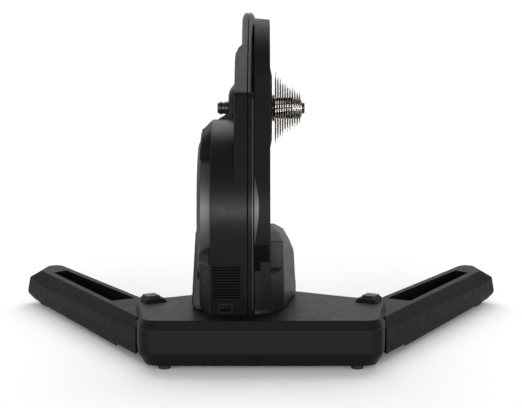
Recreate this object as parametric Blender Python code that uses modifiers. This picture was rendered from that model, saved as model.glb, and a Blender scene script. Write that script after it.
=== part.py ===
"""Direct-drive bicycle trainer with folding legs, built at its real size.

Metres. +Z is up, +Y is the way the bicycle faces and +X is its chain side. The origin lies on the
floor under the middle of the opened-out trainer. The viewer of the photograph stands behind it.
"""

import bmesh
import bpy
import math
from mathutils import Matrix, Vector

# Clearances
FIT = 0.0003          # gap between pieces that touch
RUN = 0.0020          # gap round what turns inside a cover
HINGE_RUN = 0.0012    # gap over a folding leg

# Rear axle of the bicycle
AXLE_Y = -0.037
AXLE_Z = 0.3492
AXLE_WIDTH = 0.130    # between the dropout faces
AXLE_R = 0.0075
SKEWER_R = 0.0026
CAP_R = 0.0081
LEFT_CAP_R = 0.0097
CAP_FLANGE = 0.0030
CAP_DEPTH = 0.0053

# Resistance drum, low behind the axle
DRUM_Y = -0.105
DRUM_Z = 0.206
DRUM_R = 0.132

# Tower, split in two halves at the seam
HOUSING_LEFT = -0.0704
BODY_LEFT = -0.0380
SEAM = -0.0175
BODY_RIGHT = -0.0096
WALL = 0.0040
REAR_LEAN = math.radians(15.0)    # the face over the mains inlet leans outwards going up
REAR_TANGENT = math.radians(24.0) # slope of the straight rear edge over the drum
TOE_Y = -0.205                    # foot of that leaning face
SHOULDER = (-0.172, 0.381)        # sharp rear corner
CREST_REAR = (0.033, 0.489)
CREST_FRONT = (0.056, 0.489)
NOSE_HIGH = (0.096, 0.440)
NOSE_MID = (0.104, 0.352)
NOSE_LOW = (0.086, 0.290)
FRONT_FOOT_Y = -0.040
THIN_LEFT = -0.0286               # the crest is thinner than the arm under it
THIN_REAR = (-0.065, 0.437)
THIN_FRONT = (0.130, 0.400)

# Base
BASE_REAR = -0.246
BASE_HALF = 0.1495
BASE_CORNER_R = 0.024
BASE_SIDE = ((BASE_HALF + 0.0280, -0.183), (BASE_HALF + 0.0365, -0.130), (BASE_HALF + 0.0385, -0.100))
BASE_FRONT_CORNER = ((BASE_HALF + 0.0355, -0.083), (BASE_HALF + 0.0275, -0.077), (BASE_HALF - 0.0035, -0.079))
MOUTH_X = BASE_HALF + 0.0135      # inner wall of the mouth that a leg's root turns in
MOUTH_FRONT_X = BASE_HALF - 0.0365
MOUTH_STEP_Y = -0.097
MOUTH_SIDE = 0.0455               # from the pin to the mouth's rear wall
BASE_NOSE_Y = -0.018
BASE_BOTTOM = 0.0053
BASE_SILL = 0.0200
BASE_BROW = 0.0585
BASE_TOP = 0.0705
SILL_INSET = 0.0075
BROW_STEP = 0.0015
BROW_INSET = 0.0075
FLOOR_PLATE_T = 0.0030
PILLAR_R = 0.0070
PILLARS = ((0.110, -0.205), (0.088, -0.105))
REAR_FOOT = (BASE_HALF - 0.0145, -0.2275)
REAR_FOOT_R = 0.0090

# Legs, each swinging on an upright pin
HINGE_X = BASE_HALF + 0.0111
HINGE_Y = -0.1405
LEG_OPEN = math.radians(29.0)
LEG_BOTTOM = 0.0080
LEG_ROOT_BOTTOM = 0.0120
LEG_TOP = 0.0610
LEG_TIP_TOP = 0.0588
LEG_BROW = 0.0480
LEG_TIP_BROW = 0.0410
LEG_KNEE = 0.0150
LEG_TIP_KNEE = 0.0215
LEG_ROOT_HALF = 0.0420
LEG_TIP_HALF = 0.0375
LEG_ROOT_TOP_HALF = 0.0295
LEG_TIP_TOP_HALF = 0.0235
LEG_BOTTOM_INSET = 0.0050
LEG_ROOT_INSET = 0.0020
LEG_ROOT_DROP = 0.0015
LEG_HEEL = 0.0125                 # how far the side face runs on behind the pin, beside the base
LEG_LENGTH = 0.383
LEG_POINT = 0.035
ROOT_R = 0.030
PIN_R = 0.0060
PIN_HEAD_R = 0.0120
SLOT_START = 0.099
SLOT_END = LEG_LENGTH - 0.022
SLOT_ROOT_HALF = 0.0190
SLOT_TIP_HALF = 0.0140
LEG_BEND = LEG_LENGTH - 0.033     # past here the side face grows taller towards the tip
LEG_TIP_RISES = (0.0010, -0.0035, 0.0055, 0.0)
LEG_FOOT_HALF = 0.0240
LEG_FOOT_START = LEG_LENGTH - 0.024
LEG_FOOT_END = LEG_LENGTH + 0.014
LEG_FOOT_CORNER_R = 0.0070

# Latch buttons on the base's outer corners
LATCH = (BASE_HALF + 0.0125, -0.108)
LATCH_HALF = 0.0110
LATCH_TOP = 0.0800
MOUND_TOP = 0.0755
MOUND_FOOT_HALF = 0.0185
MOUND_TOP_HALF = 0.0145
MOUND_REACH = 0.0175              # from a latch to the outer edge of the base's top
LATCH_EDGE = 0.0014
LATCH_STEM_R = 0.0030
LATCH_FLOOR = 0.0648
LATCH_BUTTON_T = 0.0087
SPRING_WIRE_R = 0.00045
SPRING_COIL_R = 0.0052
SPRING_TURNS = 2

# Flywheel, guard and shaft
FLY_LEFT = -0.0905
FLY_RIGHT = -0.0722
FLY_R = 0.105
FLY_FACE_R = 0.096
FLY_BEVEL = 0.005
FLY_RIM = 0.022
FLY_WEB_T = 0.006
SHAFT_R = 0.0085
SHAFT_LEFT = -0.0935
SHAFT_RIGHT = 0.0090
BEARING_R = 0.0175
BEARING_T = 0.0100
BOSS_R = 0.0225
GUARD_START = math.radians(54.0)
GUARD_END = math.radians(208.0)
GUARD_SCREW_R = 0.0028
GUARD_SHORT = 0.0040      # the guard's open end stops this far inside the flywheel's face
GUARD_GAP = 0.0030        # between the flywheel's rim and the guard
GUARD_LIP_T = 0.0051      # thickness at the open end
GUARD_SHOULDER = 0.0130   # how far the shoulder stands over the flywheel's rim
GUARD_SHOULDER_IN = 0.0023
GUARD_ROOT_T = 0.0130     # thickness where it joins the drum
NUT_R = 0.0130
NUT_T = 0.0030

# Brake inside the drum
ROTOR_R = 0.104
ROTOR_T = 0.004
ROTOR_RIM = 0.022
CORE_R = 0.060
CORE_HOLE_R = 0.045
COIL_COUNT = 6
COIL_SIZE = (0.015, 0.022, 0.028)

# Belt drive under the round cover
COVER_R = 0.1318
COVER_LOW_R = 0.1315
COVER_RIGHT = 0.0130
COVER_WALL = 0.0030
HUB_PLATE_T = 0.0030
HUB_PLATE_R = 0.063
HUB_PLATE_FACE_R = 0.048
HUB_HOLE_R = 0.0205
PULLEY_R = 0.100
PULLEY_LEFT = -0.0055
PULLEY_T = 0.0140
PULLEY_RIM = 0.006
HUB_R = 0.024
NECK_R = 0.0180
HUB_BEARING_R = 0.0120
HUB_BEARING_T = 0.0070
HUB_BEARINGS = (("hub_left", -0.0075), ("hub_right", 0.0090), ("freehub", 0.0460))
SMALL_PULLEY_R = 0.020
SMALL_FLANGE = 0.004
BELT_T = 0.0030
BELT_W = 0.0100
IDLER_R = 0.0140
IDLER_ALONG = 0.66
IDLER_PIN_R = 0.0040

# Freehub and cassette
FLANGE_LEFT = 0.0172
FLANGE_T = 0.0027
FLANGE_R = 0.0197
FREEHUB_R = 0.0138
SPROCKET_TEETH = (25, 23, 21, 19, 17, 16, 15, 14, 13, 12, 11)
SPROCKET_FIRST = 0.0217
SPROCKET_PITCH = 0.00359
SPROCKET_T = 0.0018
CHAIN_PITCH = 0.0127
ROLLER_R = 0.00395
TOOTH_RISE = 0.0026
SPACER_R = 0.0156
LOCKRING_R = 0.0135
LOCKRING_T = 0.0018

# Pedestal, vents and inlet
VENT_LEFT = -0.068
VENT_RIGHT = -0.028
VENT_LOW = 0.0262     # up the leaning face from its foot
VENT_PITCH = 0.0043
VENT_SLOT = 0.0021
VENT_COUNT = 12
VENT_T = 0.0024
INLET_LEFT = -0.0600
INLET_RIGHT = -0.0395
INLET_LOW = 0.0022
INLET_HIGH = 0.0185
INLET_DEPTH = 0.018
SOCKET_MARGIN = 0.0030
SOCKET_DEPTH = 0.0120
CONTACT_R = 0.0012
CONTACT_SPREAD = 0.0043
SKIRT_LEFT = -0.1012
SKIRT_LEFT_TOP = -0.0948
SKIRT_TOP = 0.176
SKIRT_REAR_TOP = 0.149
PLINTH_INSET = 0.0025
PLINTH_TOP = 0.0765
LEFT_COVER_FOOT = ((SKIRT_LEFT, -0.150), (-0.087, -0.1755))   # the two outer corners of its rear
LEFT_COVER_FRONT = (-0.084, -0.072)                          # where its front corner is bevelled
LEFT_COVER_HEAD = ((-0.158, -0.050), (-0.0875, -0.206), (-0.080, -0.030))
LEFT_COVER_RETURN = 0.0028
RIGHT_COVER_ROWS = (      # height, then x and set-back of the step, the near corner, and the far side
    (PLINTH_TOP, 0.012, 0.014, 0.033, -0.1635, 0.0525, FRONT_FOOT_Y, FRONT_FOOT_Y),
    (0.098, 0.012, 0.0125, 0.0333, -0.1640, 0.0522, -0.036, -0.024),
    (0.1495, 0.011, 0.0030, 0.0330, -0.1650, 0.0500, -0.028, -0.004),
)
RIGHT_SHOULDER_ROWS = (   # height, near corner, far side's x and its front end
    (0.0850, 0.0326, -0.150, 0.0520, -0.037),
    (0.1345, 0.0325, -0.150, 0.0492, -0.031),
    (0.1500, 0.0324, -0.149, 0.0425, -0.028),
    (0.1660, 0.0320, -0.146, 0.0335, -0.030),
    (0.1745, 0.0265, -0.116, 0.0200, -0.036),
    (0.1780, 0.0180, -0.099, 0.0165, -0.060),
)
RIGHT_SIDE_Y = -0.066     # where the side facet starts
LIP_NOTCH = (-0.012, -0.0006, 0.1375)
BOARD_BOX = ((-0.064, -0.165), (-0.022, -0.075))
BOARD_T = 0.0016
BOARD_CHIPS = ((-0.050, -0.140, 0.009, 0.012), (-0.034, -0.120, 0.006, 0.006), (-0.048, -0.100, 0.008, 0.008))
BOARD_POST_R = 0.0030
BOARD_RISE = 0.0050
LEDGE_Z = 0.129
LEDGE_BEND_Y = -0.164
LEDGE_FALL = 0.375

# How finely round things are cut
COARSE = 16
MEDIUM = 32
FINE = 48
ARC_STEP = math.radians(6.0)


def clear_scene():
    for old in list(bpy.data.objects):
        bpy.data.objects.remove(old, do_unlink=True)


def make_collection(name):
    made = bpy.data.collections.new(name)
    bpy.context.scene.collection.children.link(made)
    return made


def make_material(name, colour, roughness, metallic=0.0):
    made = bpy.data.materials.new(name)
    made.use_nodes = True
    shader = made.node_tree.nodes["Principled BSDF"]
    shader.inputs["Base Color"].default_value = (*colour, 1.0)
    shader.inputs["Roughness"].default_value = roughness
    shader.inputs["Metallic"].default_value = metallic
    made.diffuse_color = (*colour, 1.0)
    return made


clear_scene()
PARTS = make_collection("bike_trainer")
CUTTERS = make_collection("cutters")

BLACK_PLASTIC = make_material("black_moulded_plastic", (0.022, 0.022, 0.023), 0.48)
GREY_PLASTIC = make_material("dark_grey_plastic", (0.034, 0.034, 0.035), 0.42)
BLACK_PAINT = make_material("satin_black_paint", (0.028, 0.028, 0.029), 0.38)
RUBBER = make_material("black_rubber", (0.014, 0.014, 0.014), 0.85)
STEEL = make_material("bright_steel", (0.42, 0.41, 0.40), 0.32, 1.0)
DARK_STEEL = make_material("dark_machined_steel", (0.20, 0.20, 0.205), 0.36, 1.0)
ALUMINIUM = make_material("machined_aluminium", (0.60, 0.60, 0.61), 0.34, 1.0)
NICKEL = make_material("nickel_plated_steel", (0.50, 0.46, 0.42), 0.30, 1.0)
COPPER = make_material("copper_winding", (0.60, 0.25, 0.10), 0.40, 1.0)
BOARD_GREEN = make_material("circuit_board", (0.02, 0.12, 0.05), 0.55)

# Local x, y and z of a flat outline become world Y, Z and X
SIDEWAYS = Matrix(((0, 0, 1, 0), (1, 0, 0, 0), (0, 1, 0, 0), (0, 0, 0, 1)))
# Local x, y and z become world X, Y and Z
LEVEL = Matrix.Identity(4)


def lean_frame():
    """Local x runs along X, y up the leaning rear face, and z out of it, from the face's foot."""
    up = Vector((0, -math.sin(REAR_LEAN), math.cos(REAR_LEAN)))
    out = Vector((0, -math.cos(REAR_LEAN), -math.sin(REAR_LEAN)))
    frame = Matrix.Identity(4)
    frame.col[0] = (1, 0, 0, 0)
    frame.col[1] = (*up, 0)
    frame.col[2] = (*out, 0)
    frame.col[3] = (0, TOE_Y, BASE_TOP + FIT, 1)
    return frame


def finish(name, mesh, material, frame=LEVEL, cutter=False, origin=None):
    """Put a mesh in the scene, with its origin at a stated world point."""
    mesh.transform(frame)
    if origin is not None:
        mesh.transform(Matrix.Translation(-Vector(origin)))
    obj = bpy.data.objects.new(name, mesh)
    if origin is not None:
        obj.location = origin
    if cutter:
        CUTTERS.objects.link(obj)
        obj.hide_render = True
        obj.display_type = "WIRE"
    else:
        mesh.materials.append(material)
        PARTS.objects.link(obj)
    return obj


def cut(target, cutter, operation="DIFFERENCE"):
    step = target.modifiers.new(f"{operation.lower()}_{cutter.name}"[:60], "BOOLEAN")
    step.operation = operation
    step.solver = "EXACT"
    step.object = cutter
    return target


def arc(centre, radius, start, stop, step=ARC_STEP):
    """Points on a circle from one angle to another, both ends included."""
    count = max(2, round(abs(stop - start) / step))
    turn = (stop - start) / count
    angles = [start + turn * index for index in range(count + 1)]
    return [(centre[0] + radius * math.cos(a), centre[1] + radius * math.sin(a)) for a in angles]


def circle(centre, radius, count):
    return arc(centre, radius, 0.0, math.tau, math.tau / count)[:-1]


def inset(points, depth):
    """Move every side of an outline inwards by the same depth, keeping the number of corners."""
    area = sum(a[0] * b[1] - b[0] * a[1] for a, b in zip(points, points[1:] + points[:1]))
    sign = 1.0 if area > 0 else -1.0
    moved = []
    for index, point in enumerate(points):
        here = Vector(point[:2])
        before = (here - Vector(points[index - 1][:2])).normalized()
        after = (Vector(points[(index + 1) % len(points)][:2]) - here).normalized()
        normal_a = Vector((-before.y, before.x)) * sign
        normal_b = Vector((-after.y, after.x)) * sign
        bisector = normal_a + normal_b
        bisector *= depth / max(bisector.dot(normal_a), 0.2)
        moved.append((here.x + bisector.x, here.y + bisector.y))
    return moved


def tangent_loop(first, first_r, second, second_r, grow=0.0):
    """Outline of a belt round two circles, going round the first circle and then the second."""
    line = Vector(second) - Vector(first)
    along = math.atan2(line.y, line.x)
    lift = math.acos((first_r - second_r) / line.length)
    far = arc(first, first_r + grow, along + lift, along - lift + math.tau)
    near = arc(second, second_r + grow, along - lift, along + lift)
    return far + near


def plate(name, loops, low, high, material, frame=SIDEWAYS, cutter=False, origin=None):
    """A flat outline with any holes, given thickness from one depth to another."""
    data = bpy.data.curves.new(name, "CURVE")
    data.dimensions = "2D"
    data.fill_mode = "BOTH"
    data.extrude = (high - low) / 2
    for loop in loops:
        spline = data.splines.new("POLY")
        spline.points.add(len(loop) - 1)
        for point, place in zip(spline.points, loop):
            point.co = (place[0], place[1], 0.0, 1.0)
        spline.use_cyclic_u = True
    shape = bpy.data.objects.new(name + "_outline", data)
    CUTTERS.objects.link(shape)
    bpy.context.view_layer.update()
    mesh = bpy.data.meshes.new_from_object(shape.evaluated_get(bpy.context.evaluated_depsgraph_get()))
    bpy.data.objects.remove(shape, do_unlink=True)
    work = bmesh.new()
    work.from_mesh(mesh)
    bmesh.ops.remove_doubles(work, verts=work.verts, dist=0.000005)
    bmesh.ops.recalc_face_normals(work, faces=work.faces)
    work.to_mesh(mesh)
    work.free()
    mesh.name = name
    mesh.transform(Matrix.Translation((0, 0, (low + high) / 2)))
    return finish(name, mesh, material, frame, cutter, origin)


def turned(name, profile, axis_at, steps, material, upright=False, cutter=False):
    """A profile of (place along the axis, radius) turned about an X axis, or about Z if upright.

    It runs from high to low along the outside, and closes on itself round a bore.
    """
    mesh = bpy.data.meshes.new(name)
    places = [(radius, 0.0, along) for along, radius in profile]
    solid = profile[0][1] < 1e-7 and profile[-1][1] < 1e-7
    edges = [(i, i + 1) for i in range(len(places) - 1)]
    if not solid:
        edges.append((len(places) - 1, 0))
    mesh.from_pydata(places, edges, [])
    obj = finish(name, mesh, material, LEVEL, cutter)
    if upright:
        obj.location = (*axis_at, 0.0)
    else:
        obj.location = (0.0, *axis_at)
        obj.rotation_euler = (0.0, math.pi / 2, 0.0)
    screw = obj.modifiers.new("turn", "SCREW")
    screw.axis = "Z"
    screw.angle = math.tau
    screw.steps = steps
    screw.render_steps = steps
    screw.use_merge_vertices = True
    screw.merge_threshold = 0.00001
    screw.use_smooth_shade = False
    return obj


def ring_profile(low, high, outer, inner):
    return [(high, outer), (low, outer), (low, inner), (high, inner)]


def loft(name, rings, material, cutter=False, origin=None):
    """Skin over rings of equal length, each a list of (x, y, z), closed at both ends."""
    work = bmesh.new()
    rows = [[work.verts.new(place) for place in ring] for ring in rings]
    for lower, upper in zip(rows, rows[1:]):
        for index in range(len(lower)):
            after = (index + 1) % len(lower)
            work.faces.new((lower[index], lower[after], upper[after], upper[index]))
    work.faces.new(list(reversed(rows[0])))
    work.faces.new(rows[-1])
    bmesh.ops.triangulate(work, faces=work.faces[:])
    bmesh.ops.recalc_face_normals(work, faces=work.faces)
    mesh = bpy.data.meshes.new(name)
    work.to_mesh(mesh)
    work.free()
    return finish(name, mesh, material, LEVEL, cutter, origin)


def block(name, low, high, material, bevel=0.0, frame=LEVEL, cutter=False, origin=None):
    work = bmesh.new()
    bmesh.ops.create_cube(work, size=1.0)
    size = [h - l for l, h in zip(low, high)]
    centre = [(h + l) / 2 for l, h in zip(low, high)]
    bmesh.ops.scale(work, vec=size, verts=work.verts)
    bmesh.ops.translate(work, vec=centre, verts=work.verts)
    if bevel:
        bmesh.ops.bevel(work, geom=work.edges[:], offset=bevel, segments=1, affect="EDGES")
    mesh = bpy.data.meshes.new(name)
    work.to_mesh(mesh)
    work.free()
    return finish(name, mesh, material, frame, cutter, origin)


def at_height(outline, height):
    return [(x, y, height) for x, y in outline]


def mirrored(outline, side):
    """The same outline on the side asked for: -1 is the left, +1 the right."""
    return [(side * x, y) for x, y in outline]


# Outlines that several pieces share

DRUM = (DRUM_Y, DRUM_Z)
AXLE = (AXLE_Y, AXLE_Z)
FOOT_Z = BASE_TOP + FIT
SKY = math.pi


def drum_point(elevation, radius=DRUM_R):
    """A point on a circle about the drum's axis; elevation 0 is its rearmost point."""
    angle = SKY - elevation
    return (DRUM_Y + radius * math.cos(angle), DRUM_Z + radius * math.sin(angle))


def lean_foot_y():
    """Where the leaning face, tangent to the drum, meets the base."""
    touch = drum_point(-REAR_LEAN)
    return touch[0] + (touch[1] - FOOT_Z) * math.tan(REAR_LEAN)


TOE_Y = lean_foot_y()
FRONT_TANGENT = math.radians(204.0)


def drum_arc(low, high):
    """Points round the drum between two elevations, at whole steps so that outlines share them."""
    first = math.floor(low / ARC_STEP + 0.01) + 1
    last = math.ceil(high / ARC_STEP - 0.01) - 1
    between = [drum_point(ARC_STEP * index) for index in range(first, last + 1)]
    return [drum_point(low)] + between + [drum_point(high)]


def tower_outline():
    """Side view of the seam: leaning face, drum, straight edge, shoulder, crest, nose and foot."""
    rear = drum_arc(-REAR_LEAN, REAR_TANGENT)
    belly = drum_point(FRONT_TANGENT)
    front = [CREST_REAR, CREST_FRONT, NOSE_HIGH, NOSE_MID, NOSE_LOW, belly]
    return [(TOE_Y, FOOT_Z)] + rear + [SHOULDER] + front + [(FRONT_FOOT_Y, FOOT_Z)]


def drum_outline():
    """Side view of the drum with its foot."""
    rim = drum_arc(-REAR_LEAN, FRONT_TANGENT)
    return [(TOE_Y, FOOT_Z)] + rim + [(FRONT_FOOT_Y, FOOT_Z)]


def base_outline():
    """Plan of the base, the right half and then the left half mirrored."""
    corner = (BASE_HALF, BASE_REAR + BASE_CORNER_R)
    rear = arc(corner, BASE_CORNER_R, -math.pi / 2, 0.0, math.radians(15))
    right = rear + list(BASE_SIDE) + list(BASE_FRONT_CORNER) + [(0.030, BASE_NOSE_Y)]
    return right + [(-x, y) for x, y in reversed(right)]


def leg_place(side, x, y, centre=(HINGE_X, HINGE_Y)):
    """World plan position of a point of an opened leg.

    y runs out along the leg from its pin, or from another centre, and x towards the middle of the trainer.
    """
    across = x * math.cos(LEG_OPEN) - y * math.sin(LEG_OPEN)
    ahead = x * math.sin(LEG_OPEN) + y * math.cos(LEG_OPEN)
    return (side * (centre[0] - across), centre[1] + ahead)


def latch_square(side, half):
    """Corners of a square about a latch, turned like its leg, and kept on the base's top."""
    corners = [leg_place(side, dx * half, dy * half, LATCH) for dx, dy in ((-1, -1), (1, -1), (1, 1), (-1, 1))]
    edge = LATCH[0] + MOUND_REACH
    return [(max(-edge, min(edge, x)), y) for x, y in corners]


BASE_INNER_TOP = BASE_TOP - WALL
PIN_BOSS_BOTTOM = LEG_TOP + HINGE_RUN + 0.0006
FLOOR_TOP = BASE_BOTTOM + FIT + FLOOR_PLATE_T


def build_base():
    outline = base_outline()
    rings = (
        at_height(inset(outline, SILL_INSET), BASE_BOTTOM),
        at_height(outline, BASE_SILL),
        at_height(outline, BASE_BROW),
        at_height(inset(outline, BROW_STEP), BASE_BROW + 0.001),
        at_height(inset(outline, BROW_INSET), BASE_TOP),
    )
    shell = loft("base_shell", rings, BLACK_PLASTIC)
    hollow = (
        at_height(inset(outline, SILL_INSET + WALL), BASE_BOTTOM - 0.002),
        at_height(inset(outline, SILL_INSET + WALL), BASE_BOTTOM),
        at_height(inset(outline, WALL), BASE_SILL),
        at_height(inset(outline, WALL), BASE_BROW),
        at_height(inset(outline, WALL + BROW_INSET), BASE_INNER_TOP),
    )
    cut(shell, loft("base_hollow", hollow, None, cutter=True))
    for side, word in ((-1, "left"), (1, "right")):
        jamb_y = HINGE_Y - MOUTH_SIDE
        beyond = BASE_HALF + 0.0805
        mouth = [(beyond, jamb_y), (MOUTH_X, jamb_y), (MOUTH_X, MOUTH_STEP_Y), (MOUTH_FRONT_X, MOUTH_STEP_Y),
                 (MOUTH_FRONT_X, -0.030), (beyond, -0.030)]
        cut(shell, plate(f"{word}_mouth", [mirrored(mouth, side)], -0.01, LEG_TOP + HINGE_RUN, None,
                         LEVEL, cutter=True))
        for index, (x, y) in enumerate(PILLARS):
            pillar = [(BASE_INNER_TOP + 0.002, 0.0), (BASE_INNER_TOP + 0.002, PILLAR_R),
                      (FLOOR_TOP + FIT, PILLAR_R), (FLOOR_TOP + FIT, 0.0)]
            cut(shell, turned(f"{word}_pillar_{index}", pillar, (side * x, y), 12, None, True, True),
                "UNION")
        boss = [(BASE_INNER_TOP + 0.002, 0.0), (BASE_INNER_TOP + 0.002, PIN_HEAD_R),
                (PIN_BOSS_BOTTOM, PIN_HEAD_R), (PIN_BOSS_BOTTOM, 0.0)]
        cut(shell, turned(f"{word}_pin_boss", boss, (side * HINGE_X, HINGE_Y), 20, None, True, True),
            "UNION")
        latch_x = side * LATCH[0]
        cut(shell, plate(f"{word}_latch_seat", [latch_square(side, MOUND_TOP_HALF)], PIN_BOSS_BOTTOM,
                         BASE_INNER_TOP + 0.002, None, LEVEL, cutter=True), "UNION")
        mound = [at_height(latch_square(side, half), z)
                 for half, z in ((MOUND_FOOT_HALF, BASE_TOP - 0.002), (MOUND_FOOT_HALF, BASE_TOP),
                                 (MOUND_TOP_HALF, MOUND_TOP))]
        cut(shell, loft(f"{word}_mound", mound, None, cutter=True), "UNION")
        well = LATCH_HALF + 2 * FIT
        cut(shell, plate(f"{word}_latch_well", [latch_square(side, well)], LATCH_FLOOR, LATCH_TOP, None,
                         LEVEL, cutter=True))
        stem_hole = [(LATCH_TOP, 0.0), (LATCH_TOP, LATCH_STEM_R + 2 * FIT),
                     (PIN_BOSS_BOTTOM - 0.002, LATCH_STEM_R + 2 * FIT), (PIN_BOSS_BOTTOM - 0.002, 0.0)]
        cut(shell, turned(f"{word}_stem_hole", stem_hole, (latch_x, LATCH[1]), 12, None, True, True))

    plan = inset(outline, SILL_INSET + WALL + FIT)
    trimmed = []
    for x, y in plan:
        if y > MOUTH_STEP_Y + 0.005 and abs(x) > MOUTH_FRONT_X + 0.007:
            continue
        if y > HINGE_Y - MOUTH_SIDE - 0.004 and abs(x) > MOUTH_X + 0.002:
            y = min(y, -0.125)
        trimmed.append((x, y))
    plate("base_floor_plate", [trimmed], BASE_BOTTOM + FIT, FLOOR_TOP, DARK_STEEL, LEVEL)

    feet = []
    for side, word in ((-1, "left"), (1, "right")):
        profile = [(BASE_BOTTOM - FIT, 0.0), (BASE_BOTTOM - FIT, REAR_FOOT_R),
                   (0.0010, REAR_FOOT_R), (0.0, REAR_FOOT_R - 0.0010), (0.0, 0.0)]
        feet.append(turned(f"{word}_rear_foot", profile, (side * REAR_FOOT[0], REAR_FOOT[1]), COARSE,
                           RUBBER, upright=True))
    return shell


def leg_rings(side):
    """Four stacked outlines of a leg, each narrowing towards the tip."""
    root_slope = 2.10
    root_at = 0.0382
    span = LEG_LENGTH

    def ring(root_half, tip_half, root_z, tip_z, lean, rise, heel):
        near = min(root_half * 0.9, 0.033)
        back = root_at - root_slope * near
        fall = (tip_z - root_z) / span
        inner_start = (root_half, root_at + root_slope * root_half * 0.9 + 0.004)
        inner_end = (tip_half, span + LEG_POINT * 0.62 + lean * 0.3)
        outer_start = (-root_half, back + 0.004 - heel)
        heel_inside = (-(near + root_half) / 2, back + 0.002 - heel * 0.12)
        outer_end = (-tip_half, span + lean)

        def bend(start, end):
            share = (LEG_BEND - start[1]) / (end[1] - start[1])
            return (start[0] + (end[0] - start[0]) * share, LEG_BEND)

        flat = [outer_start, heel_inside, (-near, back),
                (root_half * 0.9, root_at + root_slope * root_half * 0.9), inner_start,
                bend(inner_start, inner_end)]
        tip = [inner_end, (tip_half * 0.83, span + LEG_POINT * 0.92 + lean * 0.3),
               (tip_half * 0.15, span + LEG_POINT + lean * 0.4), outer_end]
        rows = [(x, y, 0.0) for x, y in flat] + [(x, y, rise) for x, y in tip]
        rows.append((*bend(outer_start, outer_end), 0.0))
        return [(*leg_place(side, x, y), root_z + fall * y + up) for x, y, up in rows]

    sizes = (
        (LEG_ROOT_HALF - LEG_ROOT_INSET, LEG_TIP_HALF - LEG_BOTTOM_INSET,
         LEG_BOTTOM - LEG_ROOT_DROP, LEG_BOTTOM, 0.011),
        (LEG_ROOT_HALF, LEG_TIP_HALF + 0.001, LEG_KNEE, LEG_TIP_KNEE, 0.029),
        (LEG_ROOT_HALF, LEG_TIP_HALF, LEG_BROW, LEG_TIP_BROW, 0.018),
        (LEG_ROOT_TOP_HALF, LEG_TIP_TOP_HALF, LEG_TOP, LEG_TIP_TOP, 0.0),
    )
    heels = (LEG_HEEL, LEG_HEEL, LEG_HEEL, 0.0)
    return [ring(*size, rise, heel) for size, rise, heel in zip(sizes, LEG_TIP_RISES, heels)]


def build_leg(side, word):
    pivot = (side * HINGE_X, HINGE_Y, 0.0)
    leg = loft(f"{word}_leg", leg_rings(side), BLACK_PLASTIC, origin=pivot)
    under = [(-0.060, -0.080), (0.060, -0.080), (0.060, 0.241), (-0.060, -0.011)]
    cut(leg, plate(f"{word}_leg_relief", [[leg_place(side, x, y) for x, y in under]],
                   -0.002, LEG_ROOT_BOTTOM - 0.0006, None, LEVEL, cutter=True))
    tongue = arc((0.0, 0.0), ROOT_R, math.pi, math.tau, math.radians(15))
    tongue += [(0.034, 0.125), (-0.036, 0.008)]
    cut(leg, plate(f"{word}_leg_tongue", [[leg_place(side, x, y) for x, y in tongue]],
                   LEG_ROOT_BOTTOM, LEG_TOP - 0.003, None, LEVEL, cutter=True), "UNION")
    bore = [(0.1, 0.0), (0.1, PIN_R + FIT), (-0.01, PIN_R + FIT), (-0.01, 0.0)]
    cut(leg, turned(f"{word}_leg_bore", bore, pivot[:2], COARSE, None, True, True))
    slot = [(-SLOT_ROOT_HALF, SLOT_START), (SLOT_ROOT_HALF + 0.002, SLOT_START),
            (SLOT_TIP_HALF, SLOT_END + 0.004), (-SLOT_TIP_HALF, SLOT_END - 0.006)]
    cut(leg, plate(f"{word}_leg_slot", [[leg_place(side, x, y) for x, y in slot]],
                   -0.01, 0.1, None, LEVEL, cutter=True))

    corner = LEG_FOOT_CORNER_R
    pad = []
    for quarter, (x, y) in enumerate((
            (LEG_FOOT_HALF - corner, LEG_FOOT_START + corner), (LEG_FOOT_HALF - corner, LEG_FOOT_END - corner),
            (corner - LEG_FOOT_HALF, LEG_FOOT_END - corner), (corner - LEG_FOOT_HALF, LEG_FOOT_START + corner))):
        turn = math.pi / 2 * (quarter - 1)
        pad += arc((x, y), corner, turn, turn + math.pi / 2, math.radians(22.5))
    rings = [at_height([leg_place(side, x, y) for x, y in inset(pad, depth)], z)
             for depth, z in ((0.0015, 0.0), (0.0, 0.0015), (0.0, LEG_BOTTOM - FIT))]
    loft(f"{word}_leg_foot", rings, RUBBER)

    pin = [(PIN_BOSS_BOTTOM - FIT, 0.0), (PIN_BOSS_BOTTOM - FIT, PIN_R),
           (LEG_ROOT_BOTTOM - FIT, PIN_R), (LEG_ROOT_BOTTOM - FIT, PIN_HEAD_R),
           (FLOOR_TOP + FIT, PIN_HEAD_R), (FLOOR_TOP + FIT, 0.0)]
    turned(f"{word}_hinge_pin", pin, pivot[:2], COARSE, STEEL, upright=True)
    return leg


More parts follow.
